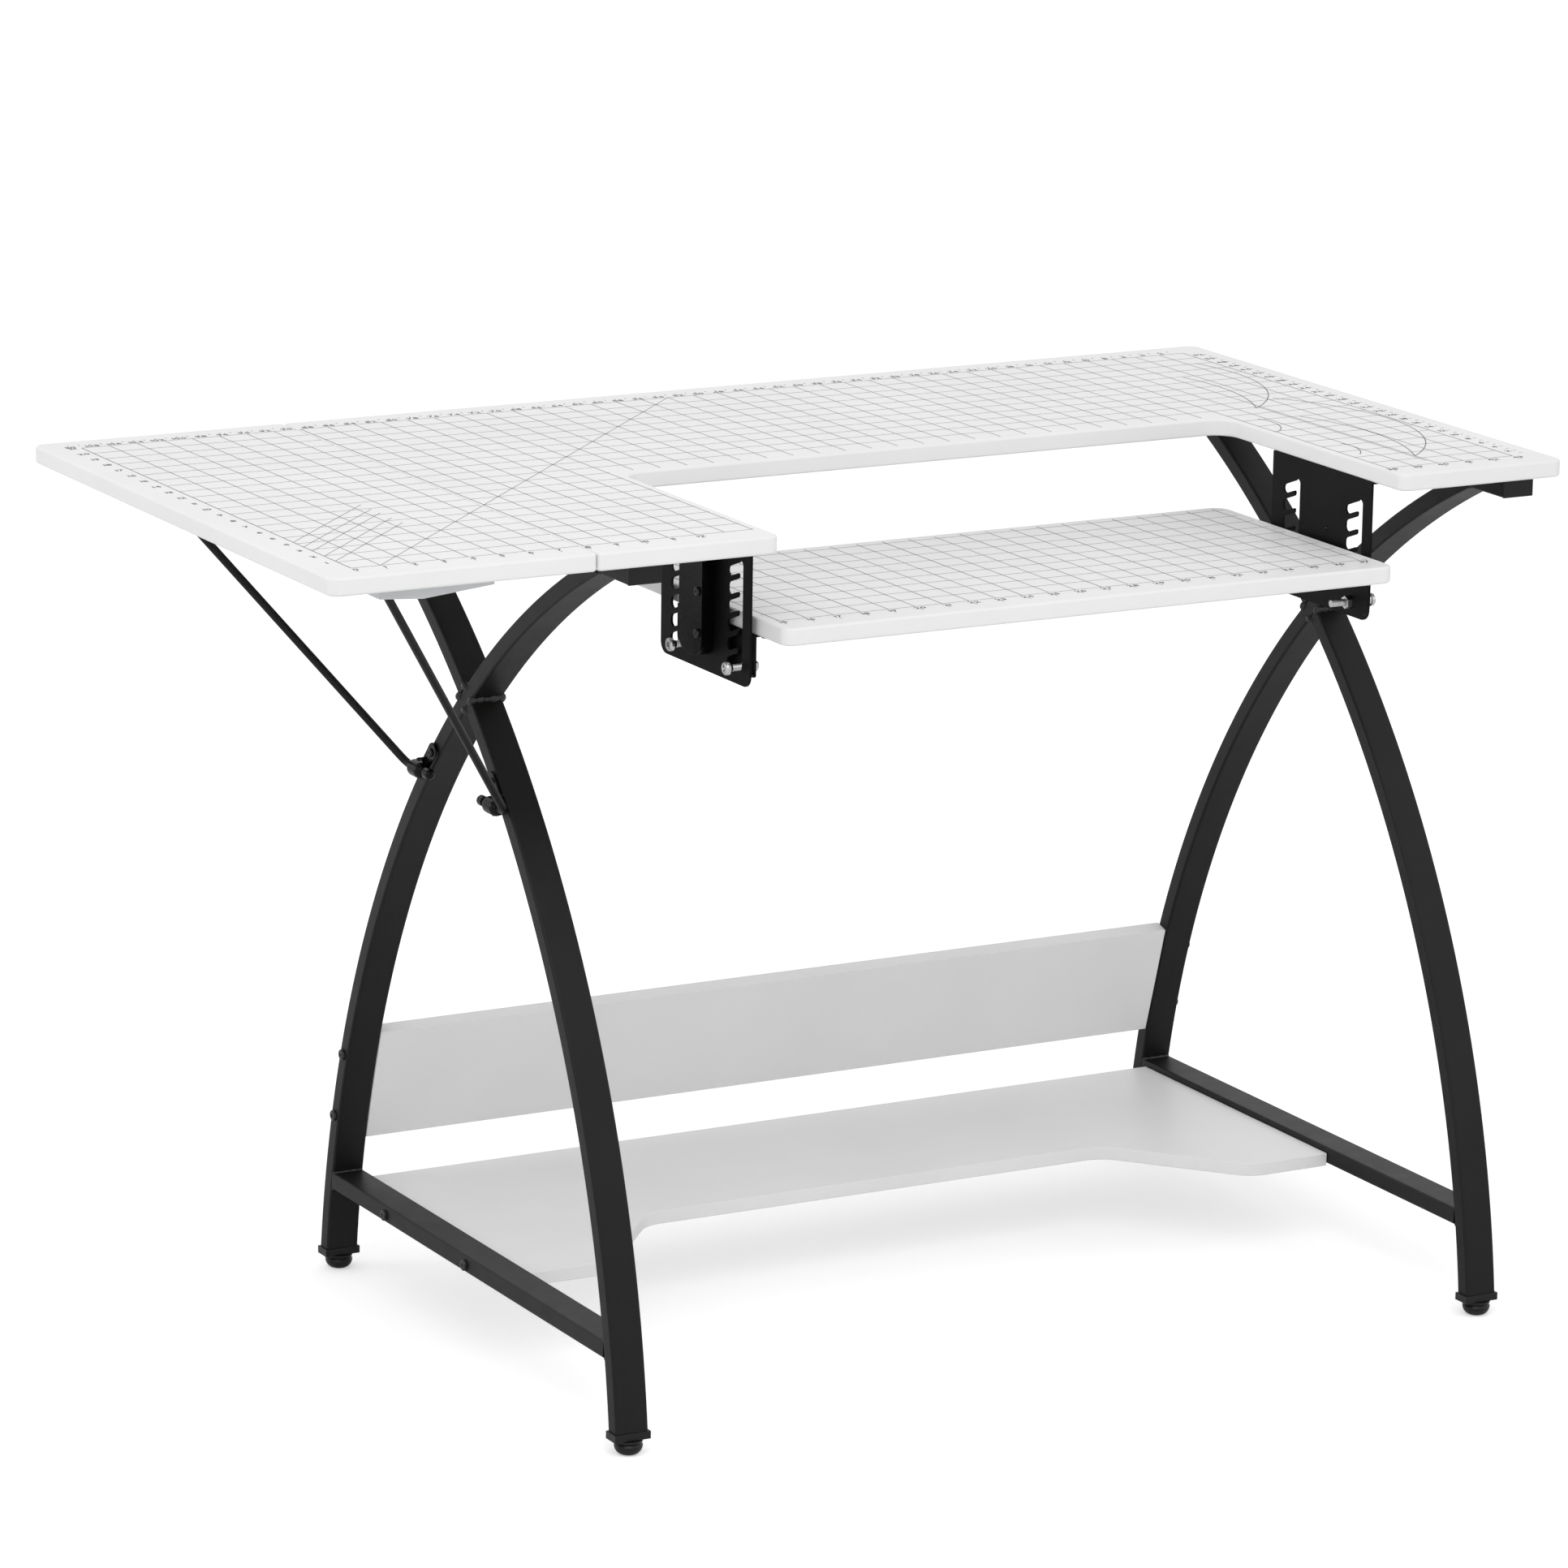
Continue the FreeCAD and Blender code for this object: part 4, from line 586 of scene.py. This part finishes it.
crossAngle = math.acos(-bendAcross / tube["bend"])
outward = Vector((0, math.cos(crossAngle), math.sin(crossAngle)))
for side in ("left", "right"):
    low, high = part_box(side + "_top_rail")
    across = (low.x + high.x) / 2
    whole = legTube(side + "_leg_full", across, 1)
    finishEdges(whole)
    keep(whole, "frame", "black_frame", finishes["blackPowder"], side + "_arc_tube")
    middle = Vector((across, bendAcross, bendUp))
    lower = legTube(side + "_leg_lower", across, -1)
    upper = copyOf(lower, Matrix.Identity(4), side + "_leg_upper")
    inner = tube["bend"] - tube["deep"] / 2 - tube["weld"]
    cutOff(lower, middle + outward * inner, outward)
    outer = tube["bend"] + tube["deep"] / 2 + tube["weld"]
    cutOff(upper, middle + outward * outer, -outward)
    for obj, node in ((lower, "_lower_tube"), (upper, "_upper_tube")):
        finishEdges(obj)
        keep(obj, "frame", "black_frame", finishes["blackPowder"], side + node)


def squareTube(node, name, inset=0):    # a straight tube along Y, its long corners rounded
    low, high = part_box(node)
    obj = barFrom(low + Vector((0, inset, 0)), high - Vector((0, inset, 0)), name)
    edit(obj)
    choose(obj, "EDGE", lambda at, way: abs(way.y) > tube["wide"])
    bevelEdges(tube["corner"], tube["cornerSteps"])
    leave()
    finishEdges(obj)
    return keep(obj, "frame", "black_frame", finishes["blackPowder"], node)


for side in ("left", "right"):
    squareTube(side + "_top_rail", side + "_rail_tube")
    squareTube(side + "_stretcher", side + "_foot_rail", tube["footRailShort"])
print("end frames ready")


# Weld beads: one ripple modelled once and laid in rows along the joints

bead = {"radius": 0.0019, "sides": 12, "rings": 8, "pitch": 0.0021, "flat": 0.62, "crossing": 2.7,
        "swell": 0.16, "swellPace": 2.4, "flutter": 0.08, "flutterPace": 5.1, "drift": 0.0003,
        "driftPace": 1.7}
bpy.ops.mesh.primitive_uv_sphere_add(segments=bead["sides"], ring_count=bead["rings"],
                                     radius=bead["radius"])
ripple = settle(bpy.context.object, "ripple")
edit(ripple)
bpy.ops.transform.resize(value=(1, 1, bead["flat"]))
leave()
only(ripple)
bpy.ops.object.shade_smooth()


def weldRow(start, end, normal, size=1):
    start, end, normal = Vector(start), Vector(end), Vector(normal).normalized()
    count = int((end - start).length / bead["pitch"] / size)
    way = (end - start).normalized()
    aside = normal.cross(way)
    turn = Matrix((way, aside, normal)).transposed().to_4x4()
    row = []
    for i in range(count + 1):
        swell = size * (1 + bead["swell"] * math.sin(i * bead["swellPace"])
                        + bead["flutter"] * math.sin(i * bead["flutterPace"]))
        spot = start.lerp(end, i / count) + aside * bead["drift"] * math.sin(i * bead["driftPace"])
        row.append(copyOf(ripple, Matrix.Translation(spot) @ turn @ Matrix.Scale(swell, 4)))
    return row


def legPoint(side, radius, up):         # a point on a leg's face at a height, side 1 or -1
    return Vector((0, side * (bendAcross + math.sqrt(radius ** 2 - (up - bendUp) ** 2)), up))


for side in ("left", "right"):
    low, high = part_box(side + "_top_rail")
    a, b = low.x + tube["corner"], high.x - tube["corner"]
    rows = []
    inner, outer = tube["bend"] - tube["deep"] / 2, tube["bend"] + tube["deep"] / 2
    for radius, way in ((inner, -outward), (outer, outward)):
        for other in (inner, outer):
            # where a face of the whole leg, a circle of one radius, meets a face of the other leg
            y = (radius ** 2 - other ** 2) / (-4 * bendAcross)
            z = bendUp + math.sqrt(radius ** 2 - (y - bendAcross) ** 2)
            rows += weldRow((a, y, z), (b, y, z), way + Vector((0, -1 if other == outer else 1, 0)),
                            bead["crossing"])
    for way in (1, -1):
        for radius in (inner, outer):
            spot = legPoint(way, radius, railLow.z)
            lean = -1 if radius == inner else 1
            rows += weldRow((a, spot.y, spot.z), (b, spot.y, spot.z), (0, lean * way, -1))
        node = side + "_stretcher"
        for corner, facing in zip(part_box(node), (-1, 1)):
            spot = legPoint(way, inner, corner.z)
            rows += weldRow((a, spot.y, spot.z), (b, spot.y, spot.z), (0, -way, facing))
    beads = joined(rows, side + "_weld_beads")
    keep(beads, "frame", "black_frame", finishes["weldBlack"])
bpy.data.objects.remove(ripple)
print("welds ready")


# Fasteners: where each CAD solid is, and a screw with a cross recess that stands for it

def solidsOf(node):
    shape = bmesh.new()
    shape.from_mesh(nodes[node].data)
    bmesh.ops.remove_doubles(shape, verts=shape.verts, dist=near["cadMerge"])
    waiting, found = set(shape.verts), []
    while waiting:
        queue = [waiting.pop()]
        points = []
        while queue:
            point = queue.pop()
            points.append(point.co.copy())
            for edge in point.link_edges:
                other = edge.other_vert(point)
                if other in waiting:
                    waiting.remove(other)
                    queue.append(other)
        found.append(points)
    shape.free()
    # by place, because a set gives its points in an order that changes from run to run
    return sorted(found, key=lambda points: [round(min(point[i] for point in points), 4)
                                             for i in range(3)])


def headOf(points):                     # the top of a fastener's head, its way out and its length
    low = Vector([min(point[i] for point in points) for i in range(3)])
    high = Vector([max(point[i] for point in points) for i in range(3)])
    size = high - low
    axis = max(range(3), key=lambda i: size[i])
    middle = (low + high) / 2
    across = [i for i in range(3) if i != axis]

    def girth(end):
        return max(math.hypot(point[across[0]] - middle[across[0]],
                              point[across[1]] - middle[across[1]])
                   for point in points if abs(point[axis] - end) < near["merge"])

    outer = high[axis] if girth(high[axis]) > girth(low[axis]) else low[axis]
    top, way = middle.copy(), Vector((0, 0, 0))
    top[axis] = outer
    way[axis] = 1 if outer > middle[axis] else -1
    return top, way, size[axis]


def seated(model, top, way, degrees):   # a copy of a fastener, its head's top at a point
    return copyOf(model, Matrix.Translation(top) @ turnTo(way)
                  @ Matrix.Rotation(math.radians(degrees), 4, "Z"))


recess = {"above": 0.001, "taper": (0.5, 0.6, 1)}


def crossRecess(obj, wide, thin, deep, turn):
    for angle in (0, 90):
        tool = barFrom((-wide, -thin, -deep), (wide, thin, recess["above"]), "recess")
        edit(tool)
        choose(tool, "FACE", lambda at, way: way.z < -near["facing"])
        bpy.ops.transform.resize(value=recess["taper"])
        leave()
        tool.data.transform(Matrix.Rotation(math.radians(angle + turn), 4, "Z"))
        combine("DIFFERENCE", obj, tool)


screw = {"sides": 28, "plain": 0.86, "point": 0.14, "pointWide": 0.45, "dome": 0.62, "domeSteps": 4,
         "domeProfile": 0.55, "recessWide": 0.56, "recessThin": 0.13, "recessDeep": 0.62,
         "recessTurn": 20, "turnEach": 37, "smooth": 35, "shelfLift": 0.0025}
# radius of the head, its thickness and radius of the shank, and whether the head is sunk
screwSizes = {"pan": (0.0038, 0.0022, 0.0018, False), "bolt": (0.0050, 0.0028, 0.0025, False),
              "hinge": (0.0029, 0.0013, 0.0014, True)}


def screwModel(head, thick, shank, sunk, length):     # the top of the head at zero, the shank down
    bpy.ops.mesh.primitive_circle_add(vertices=screw["sides"], radius=head, fill_type="NGON")
    obj = settle(bpy.context.object, "screwModel")
    edit(obj)
    drawOut((0, 0, -thick))
    if sunk:
        bpy.ops.transform.resize(value=(shank / head, shank / head, 1))
    else:
        bpy.ops.mesh.inset(thickness=head - shank)
    drawOut((0, 0, -(length - thick) * screw["plain"]))
    drawOut((0, 0, -(length - thick) * screw["point"]))
    bpy.ops.transform.resize(value=(screw["pointWide"], screw["pointWide"], 1))
    if not sunk:
        choose(obj, "FACE", lambda at, way: at.z > -near["merge"])
        bevelEdges(thick * screw["dome"], screw["domeSteps"], screw["domeProfile"])
    leave()
    faceOut(obj)
    crossRecess(obj, head * screw["recessWide"], head * screw["recessThin"],
                thick * screw["recessDeep"], screw["recessTurn"])
    return finishEdges(obj, smooth=screw["smooth"])


fastenings = (                         # node, name, body, size, finish, slot
    ("rail_screws", "rail_cross_screws", "frame", "pan", "zincSteel", "zinc"),
    ("bracket_screws", "bracket_cross_screws", "frame", "pan", "zincSteel", "zinc"),
    ("carrier_screws", "carrier_cross_screws", "platform", "pan", "zincSteel", "zinc"),
    ("catch_screws", "catch_cross_screws", "leaf", "pan", "zincSteel", "zinc"),
    ("bracket_block_screws", "block_cross_screws", "frame", "pan", "blackScrew", "black_steel"),
    ("clamp_screws", "clamp_cross_screws", "frame", "pan", "blackScrew", "black_steel"),
    ("shelf_screws", "shelf_frame_bolts", "frame", "bolt", "blackScrew", "black_steel"),
    ("panel_bolts", "panel_frame_bolts", "frame", "bolt", "blackScrew", "black_steel"),
    ("hinge_fixed_screws", "fixed_plate_screws", "frame", "hinge", "zincSteel", "zinc"),
    ("hinge_moving_screws", "moving_plate_screws", "leaf", "hinge", "zincSteel", "zinc"),
)
for node, name, body, size, finish, slot in fastenings:
    places = [headOf(points) for points in solidsOf(node)]
    # the shelf's heads lie in the middle of the stretchers
    lift = Vector((0, 0, screw["shelfLift"] if node == "shelf_screws" else 0))
    model = screwModel(*screwSizes[size], places[0][2])
    items = [seated(model, top + lift, way, screw["turnEach"] * i)
             for i, (top, way, length) in enumerate(places)]
    bpy.data.objects.remove(model)
    keep(joined(items, name), body, slot, finishes[finish], node)
print("fasteners ready")


# Height pins: a domed head with a cross, a ridged shank and a collar against the carrier

pin = {"head": 0.0056, "headThick": 0.0040, "dome": 0.0021, "neck": 0.0042, "neckLong": 0.003,
       "shank": 0.003, "groove": 0.90, "grooves": 11, "reach": 0.0215, "collar": 0.005,
       "collarThick": 0.0025, "tail": 0.012, "tailPitch": 0.001, "endInset": 0.0005, "sides": 32,
       "domeSteps": 5, "domeProfile": 0.55, "recess": (0.0033, 0.0008, 0.0026), "recessTurn": 12,
       "turnEach": 50, "smooth": 35}


def pinModel(length, extra):            # the top of the head at zero, the shank down
    bpy.ops.mesh.primitive_circle_add(vertices=pin["sides"], radius=pin["head"], fill_type="NGON")
    obj = settle(bpy.context.object, "pinModel")
    edit(obj)

    def draw(deep, share=1):
        drawOut((0, 0, -deep))
        bpy.ops.transform.resize(value=(share, share, 1))

    def thread(deep, count):
        for i in range(count):
            draw(deep / count / 2, pin["groove"])
            draw(deep / count / 2, 1 / pin["groove"])

    draw(pin["headThick"])
    bpy.ops.mesh.inset(thickness=pin["head"] - pin["neck"])
    draw(pin["neckLong"], pin["shank"] / pin["neck"])
    plain = pin["headThick"] + pin["neckLong"]
    thread(pin["reach"] - pin["collarThick"] - plain, pin["grooves"])
    draw(0, pin["collar"] / pin["shank"])
    draw(pin["collarThick"])
    bpy.ops.mesh.inset(thickness=pin["collar"] - pin["shank"])
    draw(length - pin["reach"])
    if extra:
        thread(extra, round(extra / pin["tailPitch"]))
    bpy.ops.mesh.inset(thickness=pin["endInset"])
    choose(obj, "FACE", lambda at, way: at.z > -near["merge"])
    bevelEdges(pin["dome"], pin["domeSteps"], pin["domeProfile"])
    leave()
    faceOut(obj)
    crossRecess(obj, *pin["recess"], pin["recessTurn"])
    return finishEdges(obj, smooth=pin["smooth"])


items = []
for i, (top, way, length) in enumerate(headOf(points) for points in solidsOf("height_pins")):
    model = pinModel(length, pin["tail"] if top.x > 0 else 0)      # the right side's have tails
    items.append(seated(model, top, way, pin["turnEach"] * i))
    bpy.data.objects.remove(model)
keep(joined(items, "platform_height_pins"), "platform", "zinc", finishes["zincSteel"], "height_pins")
print("height pins ready")


# Plates and mouldings: the CAD shape merged, its sharp corners rounded as pressed or moulded

def merged(node, name):                # a copy of a CAD node's shape, its triangles joined up
    obj = nodes[node].copy()
    obj.data = nodes[node].data.copy()
    obj.parent = None
    bpy.context.scene.collection.objects.link(obj)
    obj.name = obj.data.name = name
    edit(obj)
    bpy.ops.mesh.remove_doubles(threshold=near["cadMerge"])
    mergeFlat()
    leave()
    return obj


soften = {"bracket": 0.00035, "carrier": 0.0005, "spacer": 0.0014, "spacerSteps": 3, "sharp": 50}
carrierEnd = {"front": -0.2455, "round": 0.010, "steps": 8}
fingers = {"tips": (-0.2305, -0.1325), "low": 0.6494, "pitch": 0.0155, "count": 5, "thin": 0.0024,
           "slotAcross": (0.0125, 0.0181), "slotUp": (-0.0092, -0.0055), "round": 0.0021,
           "roundSteps": 5, "sharp": 40, "belowRail": 0.004}


def underFinger(y, z):                  # a finger's lower corner, or the upper half of its slot's end
    (front, rear), (low, high) = fingers["slotAcross"], fingers["slotUp"]
    return math.hypot(y, z) < near["corner"] or (front < y < rear and low < z < high)


def roundFingers(obj):                  # rounds sharp corners that run through the plate
    edit(obj)
    bpy.ops.mesh.select_mode(type="EDGE")
    bpy.ops.mesh.select_all(action="DESELECT")
    shape = bmesh.from_edit_mesh(obj.data)
    for edge in shape.edges:
        way = edge.verts[1].co - edge.verts[0].co
        if len(edge.link_faces) == 2 and abs(way.x) > way.length * near["along"]:
            low = min(point.co.z for point in edge.verts)
            edge.select_set(edge.calc_face_angle() > math.radians(fingers["sharp"])
                            and low < railLow.z - fingers["belowRail"])
    bmesh.update_edit_mesh(obj.data)
    bevelEdges(fingers["round"], fingers["roundSteps"])
    leave()


for side in ("left", "right"):
    plate = merged(side + "_toothed_bracket", side + "_height_bracket")
    edit(plate)
    choose(plate, "VERT", lambda at, way: any(
        underFinger(at.y - tip, at.z - fingers["low"] - fingers["pitch"] * i)
        for tip in fingers["tips"] for i in range(fingers["count"])))
    bpy.ops.transform.translate(value=(0, 0, fingers["thin"]))
    leave()
    roundFingers(plate)
    finishEdges(plate, soften["bracket"], angle=soften["sharp"])
    keep(plate, "frame", "black_frame", finishes["blackSheet"], side + "_toothed_bracket")
    angle = merged(side + "_carrier", side + "_carrier_angle")
    if side == "left":                  # its front end stays behind the bracket
        cutOff(angle, (0, carrierEnd["front"], 0), (0, -1, 0))
        edit(angle)
        choose(angle, "EDGE", lambda at, way: at.y < carrierEnd["front"] + near["touch"]
               and at.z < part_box("left_carrier")[0].z + near["touch"] and abs(way.x) > abs(way.z))
        bevelEdges(carrierEnd["round"], carrierEnd["steps"])
        leave()
    finishEdges(angle, soften["carrier"], angle=soften["sharp"])
    keep(angle, "platform", "black_frame", finishes["blackSheet"], side + "_carrier")
    spacer = merged(side + "_bracket_block", side + "_spacer_block")
    finishEdges(spacer, soften["spacer"], soften["spacerSteps"], angle=soften["sharp"])
    keep(spacer, "frame", "black_plastic", finishes["blockBlack"], side + "_bracket_block")

ferruleLip = 0.0026
mouldings = (                           # node, name, width of the soft edge, body, slot, finish
    ("rail_end_caps", "rail_end_plugs", 0.0007, "frame", "black_plastic", "blackPlastic"),
    ("foot_ferrules", "leg_end_ferrules", 0.0009, "frame", "black_plastic", "blackPlastic"),
    *(("glide_" + spot, spot + "_glide", 0.0003, "glide_" + spot, "black_plastic", "blackPlastic")
      for spot in ("left_front", "left_rear", "right_front", "right_rear")),
    ("bail_catch_front", "front_leaf_catch", 0.0009, "leaf", "grey_plastic", "greyPlastic"),
    ("bail_catch_rear", "rear_leaf_catch", 0.0009, "leaf", "grey_plastic", "greyPlastic"),
    ("height_pin_nuts", "pin_hex_nuts", 0.0005, "platform", "zinc", "zincSteel"),
)
for node, name, width, body, slot, finish in mouldings:
    obj = merged(node, name)
    if node == "foot_ferrules":         # the lip reaches up round the tube's end
        edit(obj)
        choose(obj, "VERT", lambda at, way: abs(at.z - tube["bottom"]) < near["touch"])
        bpy.ops.transform.translate(value=(0, 0, ferruleLip))
        leave()
    finishEdges(obj, width, angle=soften["sharp"])
    keep(obj, body, slot, finishes[finish], node)
print("plates and mouldings ready")


# Bail: a rod drawn out along its run and spun round each bend, with a moulded cap on each end

bail = {"radius": 0.0035, "bend": 0.014, "sides": 24, "bendSteps": 12, "endIn": 0.0237,
        "footOut": 0.0203, "bar": 0.224, "cap": 0.0046, "capLong": 0.010, "capWall": 0.002,
        "capInset": 0.0009, "capRound": 0.0038, "capSides": 28, "capSteps": 7}
capLow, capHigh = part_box("bail_end_caps")
bailLow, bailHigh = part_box("bail")
pivot = (capLow + capHigh) / 2
clampAcross = legPoint(1, tube["bend"], pivot.z).y
barSpot = Vector((bailLow.x + bail["radius"], 0, bailHigh.z - bail["radius"]))
upBail = (barSpot - pivot).normalized()
barUp = (barSpot - pivot).length
endAcross, footAcross = clampAcross - bail["endIn"], clampAcross + bail["footOut"]
run = [Vector((-endAcross, 0)), Vector((-footAcross, 0)), Vector((-bail["bar"], barUp)),
       Vector((bail["bar"], barUp)), Vector((footAcross, 0)), Vector((endAcross, 0))]
bailTurn = Matrix((Vector((0, 1, 0)), upBail, Vector((0, 1, 0)).cross(upBail))).transposed()


def bailSpot(flat):
    return pivot + bailTurn @ Vector((flat.x, flat.y, 0))


bpy.ops.mesh.primitive_circle_add(vertices=bail["sides"], radius=bail["radius"], fill_type="NGON")
rod = bpy.context.object
rod.matrix_world = Matrix.Translation(bailSpot(run[0])) @ turnTo((0, -1, 0))
settle(rod, "bail_rod")
edit(rod)
at = run[0]
for before, corner, after in zip(run, run[1:], run[2:]):
    come, go = (corner - before).normalized(), (after - corner).normalized()
    turn = math.atan2(come.x * go.y - come.y * go.x, come.dot(go))
    start = corner - come * bail["bend"] * math.tan(abs(turn) / 2)
    drawOut(bailSpot(start) - bailSpot(at))
    side = Vector((-come.y, come.x)) * math.copysign(bail["bend"], turn)
    bpy.ops.mesh.spin(steps=bail["bendSteps"], angle=-turn, center=bailSpot(start + side),
                      axis=bailTurn.col[2])
    at = corner + go * bail["bend"] * math.tan(abs(turn) / 2)
drawOut(bailSpot(run[-1]) - bailSpot(at))
leave()
faceOut(rod)
finishEdges(rod)
keep(rod, "bail", "black_rod", finishes["blackRod"], "bail")

caps = []
for way in (-1, 1):
    bpy.ops.mesh.primitive_circle_add(vertices=bail["capSides"], radius=bail["cap"],
                                      fill_type="NGON")
    cap = bpy.context.object
    spot = Vector((pivot.x, way * (endAcross - bail["capWall"]), pivot.z))
    out = Vector((0, way, 0))
    cap.matrix_world = Matrix.Translation(spot) @ turnTo(out)
    settle(cap)
    edit(cap)
    drawOut(out * bail["capLong"])
    bpy.ops.mesh.inset(thickness=bail["capInset"])
    choose(cap, "FACE", lambda at, normal: abs(at.y - spot.y) < near["touch"])
    bevelEdges(bail["capRound"], bail["capSteps"])
    leave()
    faceOut(cap)
    caps.append(finishEdges(cap))
keep(joined(caps, "bail_rod_caps"), "bail", "black_plastic", finishes["glossyBlack"],
     "bail_end_caps")


# Clamps: a glossy capsule round the rod, a foot on the tube and a rounded tab for its screw

clamp = {"radius": 0.0074, "long": 0.0225, "sides": 36, "round": 0.0056, "roundSteps": 8,
         "bore": 0.0037, "boreSides": 24, "stand": 0.008, "foot": 0.0062, "footWide": 0.017,
         "footRound": 0.0022, "tab": 0.0032, "tabWide": 0.014, "tabLong": 0.031, "tabRound": 0.0062,
         "cornerSteps": 6, "edge": 0.0007, "edgeSteps": 3, "smooth": 50, "rise": 0.01}
for end, way in (("front", -1), ("rear", 1)):
    spot = Vector((pivot.x, way * clampAcross, pivot.z))
    body = rodAlong(spot - Vector((0, clamp["long"] / 2, 0)), (0, 1, 0), clamp["long"],
                    clamp["radius"], clamp["sides"], end + "_bail_clamp")
    edit(body)
    choose(body, "FACE", lambda at, normal: abs(normal.y) > near["facing"])
    bevelEdges(clamp["round"], clamp["roundSteps"])
    leave()
    above = legPoint(1, tube["bend"], pivot.z + clamp["rise"])
    slope = math.atan2(way * (above.y - clampAcross), clamp["rise"])      # the leg's lean there
    lean = Matrix.Translation(spot) @ Matrix.Rotation(-slope, 4, "X")
    foot = barFrom((0, -clamp["footWide"] / 2, -clamp["foot"]),
                   (clamp["stand"], clamp["footWide"] / 2, clamp["foot"]), "foot")
    tab = barFrom((clamp["stand"] - clamp["tab"], -clamp["tabWide"] / 2, 0),
                  (clamp["stand"], clamp["tabWide"] / 2, clamp["tabLong"]), "tab")
    for piece, soft in ((foot, clamp["footRound"]), (tab, clamp["tabRound"])):
        edit(piece)
        choose(piece, "EDGE", lambda at, way: abs(way.x) > near["corner"])
        bevelEdges(soft, clamp["cornerSteps"])
        leave()
        finishEdges(piece, clamp["edge"], clamp["edgeSteps"])
        piece.data.transform(lean)
        combine("UNION", body, piece)
    combine("DIFFERENCE", body, rodAlong(spot - Vector((0, clamp["long"], 0)), (0, 1, 0),
                                         clamp["long"] * 2, clamp["bore"], clamp["boreSides"],
                                         "bore"))
    finishEdges(body, smooth=clamp["smooth"])
    keep(body, "frame", "gloss_black", finishes["glossyBlack"], "bail_clamp_" + end)
print("bail and clamps ready")


# Camera at the photograph's place

view = {"place": (-2.83208, -5.12900, 1.91125), "yaw": 0.50283, "down": 0.24095,
        "roll": -0.01477, "lens": 161.359, "sensor": 36, "nearest": 0.1, "farthest": 60}
ahead = Vector((math.sin(view["yaw"]) * math.cos(view["down"]),
                math.cos(view["yaw"]) * math.cos(view["down"]), -math.sin(view["down"])))
level = Vector((math.cos(view["yaw"]), -math.sin(view["yaw"]), 0))
below = ahead.cross(level)
right = level * math.cos(view["roll"]) + below * math.sin(view["roll"])
down = below * math.cos(view["roll"]) - level * math.sin(view["roll"])
bpy.ops.object.camera_add()
camera = bpy.context.object
camera.matrix_world = Matrix.Translation(view["place"]) @ Matrix(
    (right, -down, -ahead)).transposed().to_4x4()
camera.data.sensor_width = view["sensor"]
camera.data.lens = view["lens"]
camera.data.clip_start = view["nearest"]
camera.data.clip_end = view["farthest"]
bpy.context.scene.camera = camera


# Soft studio light on a pale floor, white all round

studio = {"world": 0.76, "aim": 0.4, "floorSize": 60, "floorColour": (0.86, 0.86, 0.86),
          "floorRough": 0.9, "floorGloss": 0.1, "floorLift": 0.40}
lamps = {"keyLamp": {"place": (-1.1, -2.3, 3.2), "size": 3.2, "power": 43},
         "fillLamp": {"place": (3.0, -2.2, 2.0), "size": 3.0, "power": 8},
         "sideLamp": {"place": (-3.2, 1.6, 1.4), "size": 2.0, "power": 16}}
for name, want in lamps.items():
    bpy.ops.object.light_add(type="AREA", location=want["place"])
    lamp = bpy.context.object
    lamp.name = name
    lamp.data.shape = "DISK"
    lamp.data.size = want["size"]
    lamp.data.energy = want["power"]
    aim = Vector((0, 0, studio["aim"])) - Vector(want["place"])
    lamp.rotation_euler = aim.to_track_quat("-Z", "Y").to_euler()

world = bpy.data.worlds.new("studio")
world.use_nodes = True
bpy.context.scene.world = world
tree = world.node_tree
paths = tree.nodes.new("ShaderNodeLightPath")
seen = paths.outputs["Is Camera Ray"]
for ray in ("Is Transmission Ray", "Is Glossy Ray"):      # these see the white background too
    either = tree.nodes.new("ShaderNodeMath")
    either.operation = "MAXIMUM"
    tree.links.new(seen, either.inputs[0])
    tree.links.new(paths.outputs[ray], either.inputs[1])
    seen = either.outputs["Value"]
strength = tree.nodes.new("ShaderNodeMapRange")
strength.inputs["To Min"].default_value = studio["world"]
strength.inputs["To Max"].default_value = 1
tree.links.new(seen, strength.inputs["Value"])
tree.links.new(strength.outputs["Result"], tree.nodes["Background"].inputs["Strength"])
tree.nodes["Background"].inputs["Color"].default_value = (1, 1, 1, 1)

bpy.ops.mesh.primitive_plane_add(size=studio["floorSize"])
floor = bpy.context.object
floor.name = "floor"
pale = bpy.data.materials.new("paleFloor")
pale.use_nodes = True
tree = pale.node_tree
shader = tree.nodes["Principled BSDF"]
shader.inputs["Base Color"].default_value = [*studio["floorColour"], 1]
shader.inputs["Roughness"].default_value = studio["floorRough"]
shader.inputs["Specular IOR Level"].default_value = studio["floorGloss"]
paths = tree.nodes.new("ShaderNodeLightPath")
lift = tree.nodes.new("ShaderNodeMath")
lift.operation = "MULTIPLY"
lift.inputs[1].default_value = studio["floorLift"]
tree.links.new(paths.outputs["Is Camera Ray"], lift.inputs[0])
shader.inputs["Emission Color"].default_value = (1, 1, 1, 1)
tree.links.new(lift.outputs["Value"], shader.inputs["Emission Strength"])
floor.data.materials.append(pale)
bpy.context.scene.view_settings.view_transform = "Standard"
print("studio ready")


# The hinges keep the CAD's shape and get a finish

for node in ("hinge_fixed_plates", "hinge_moving_plates", "hinge_pins"):
    for place in nodes[node].material_slots:
        place.material = finishes["zincSteel"]
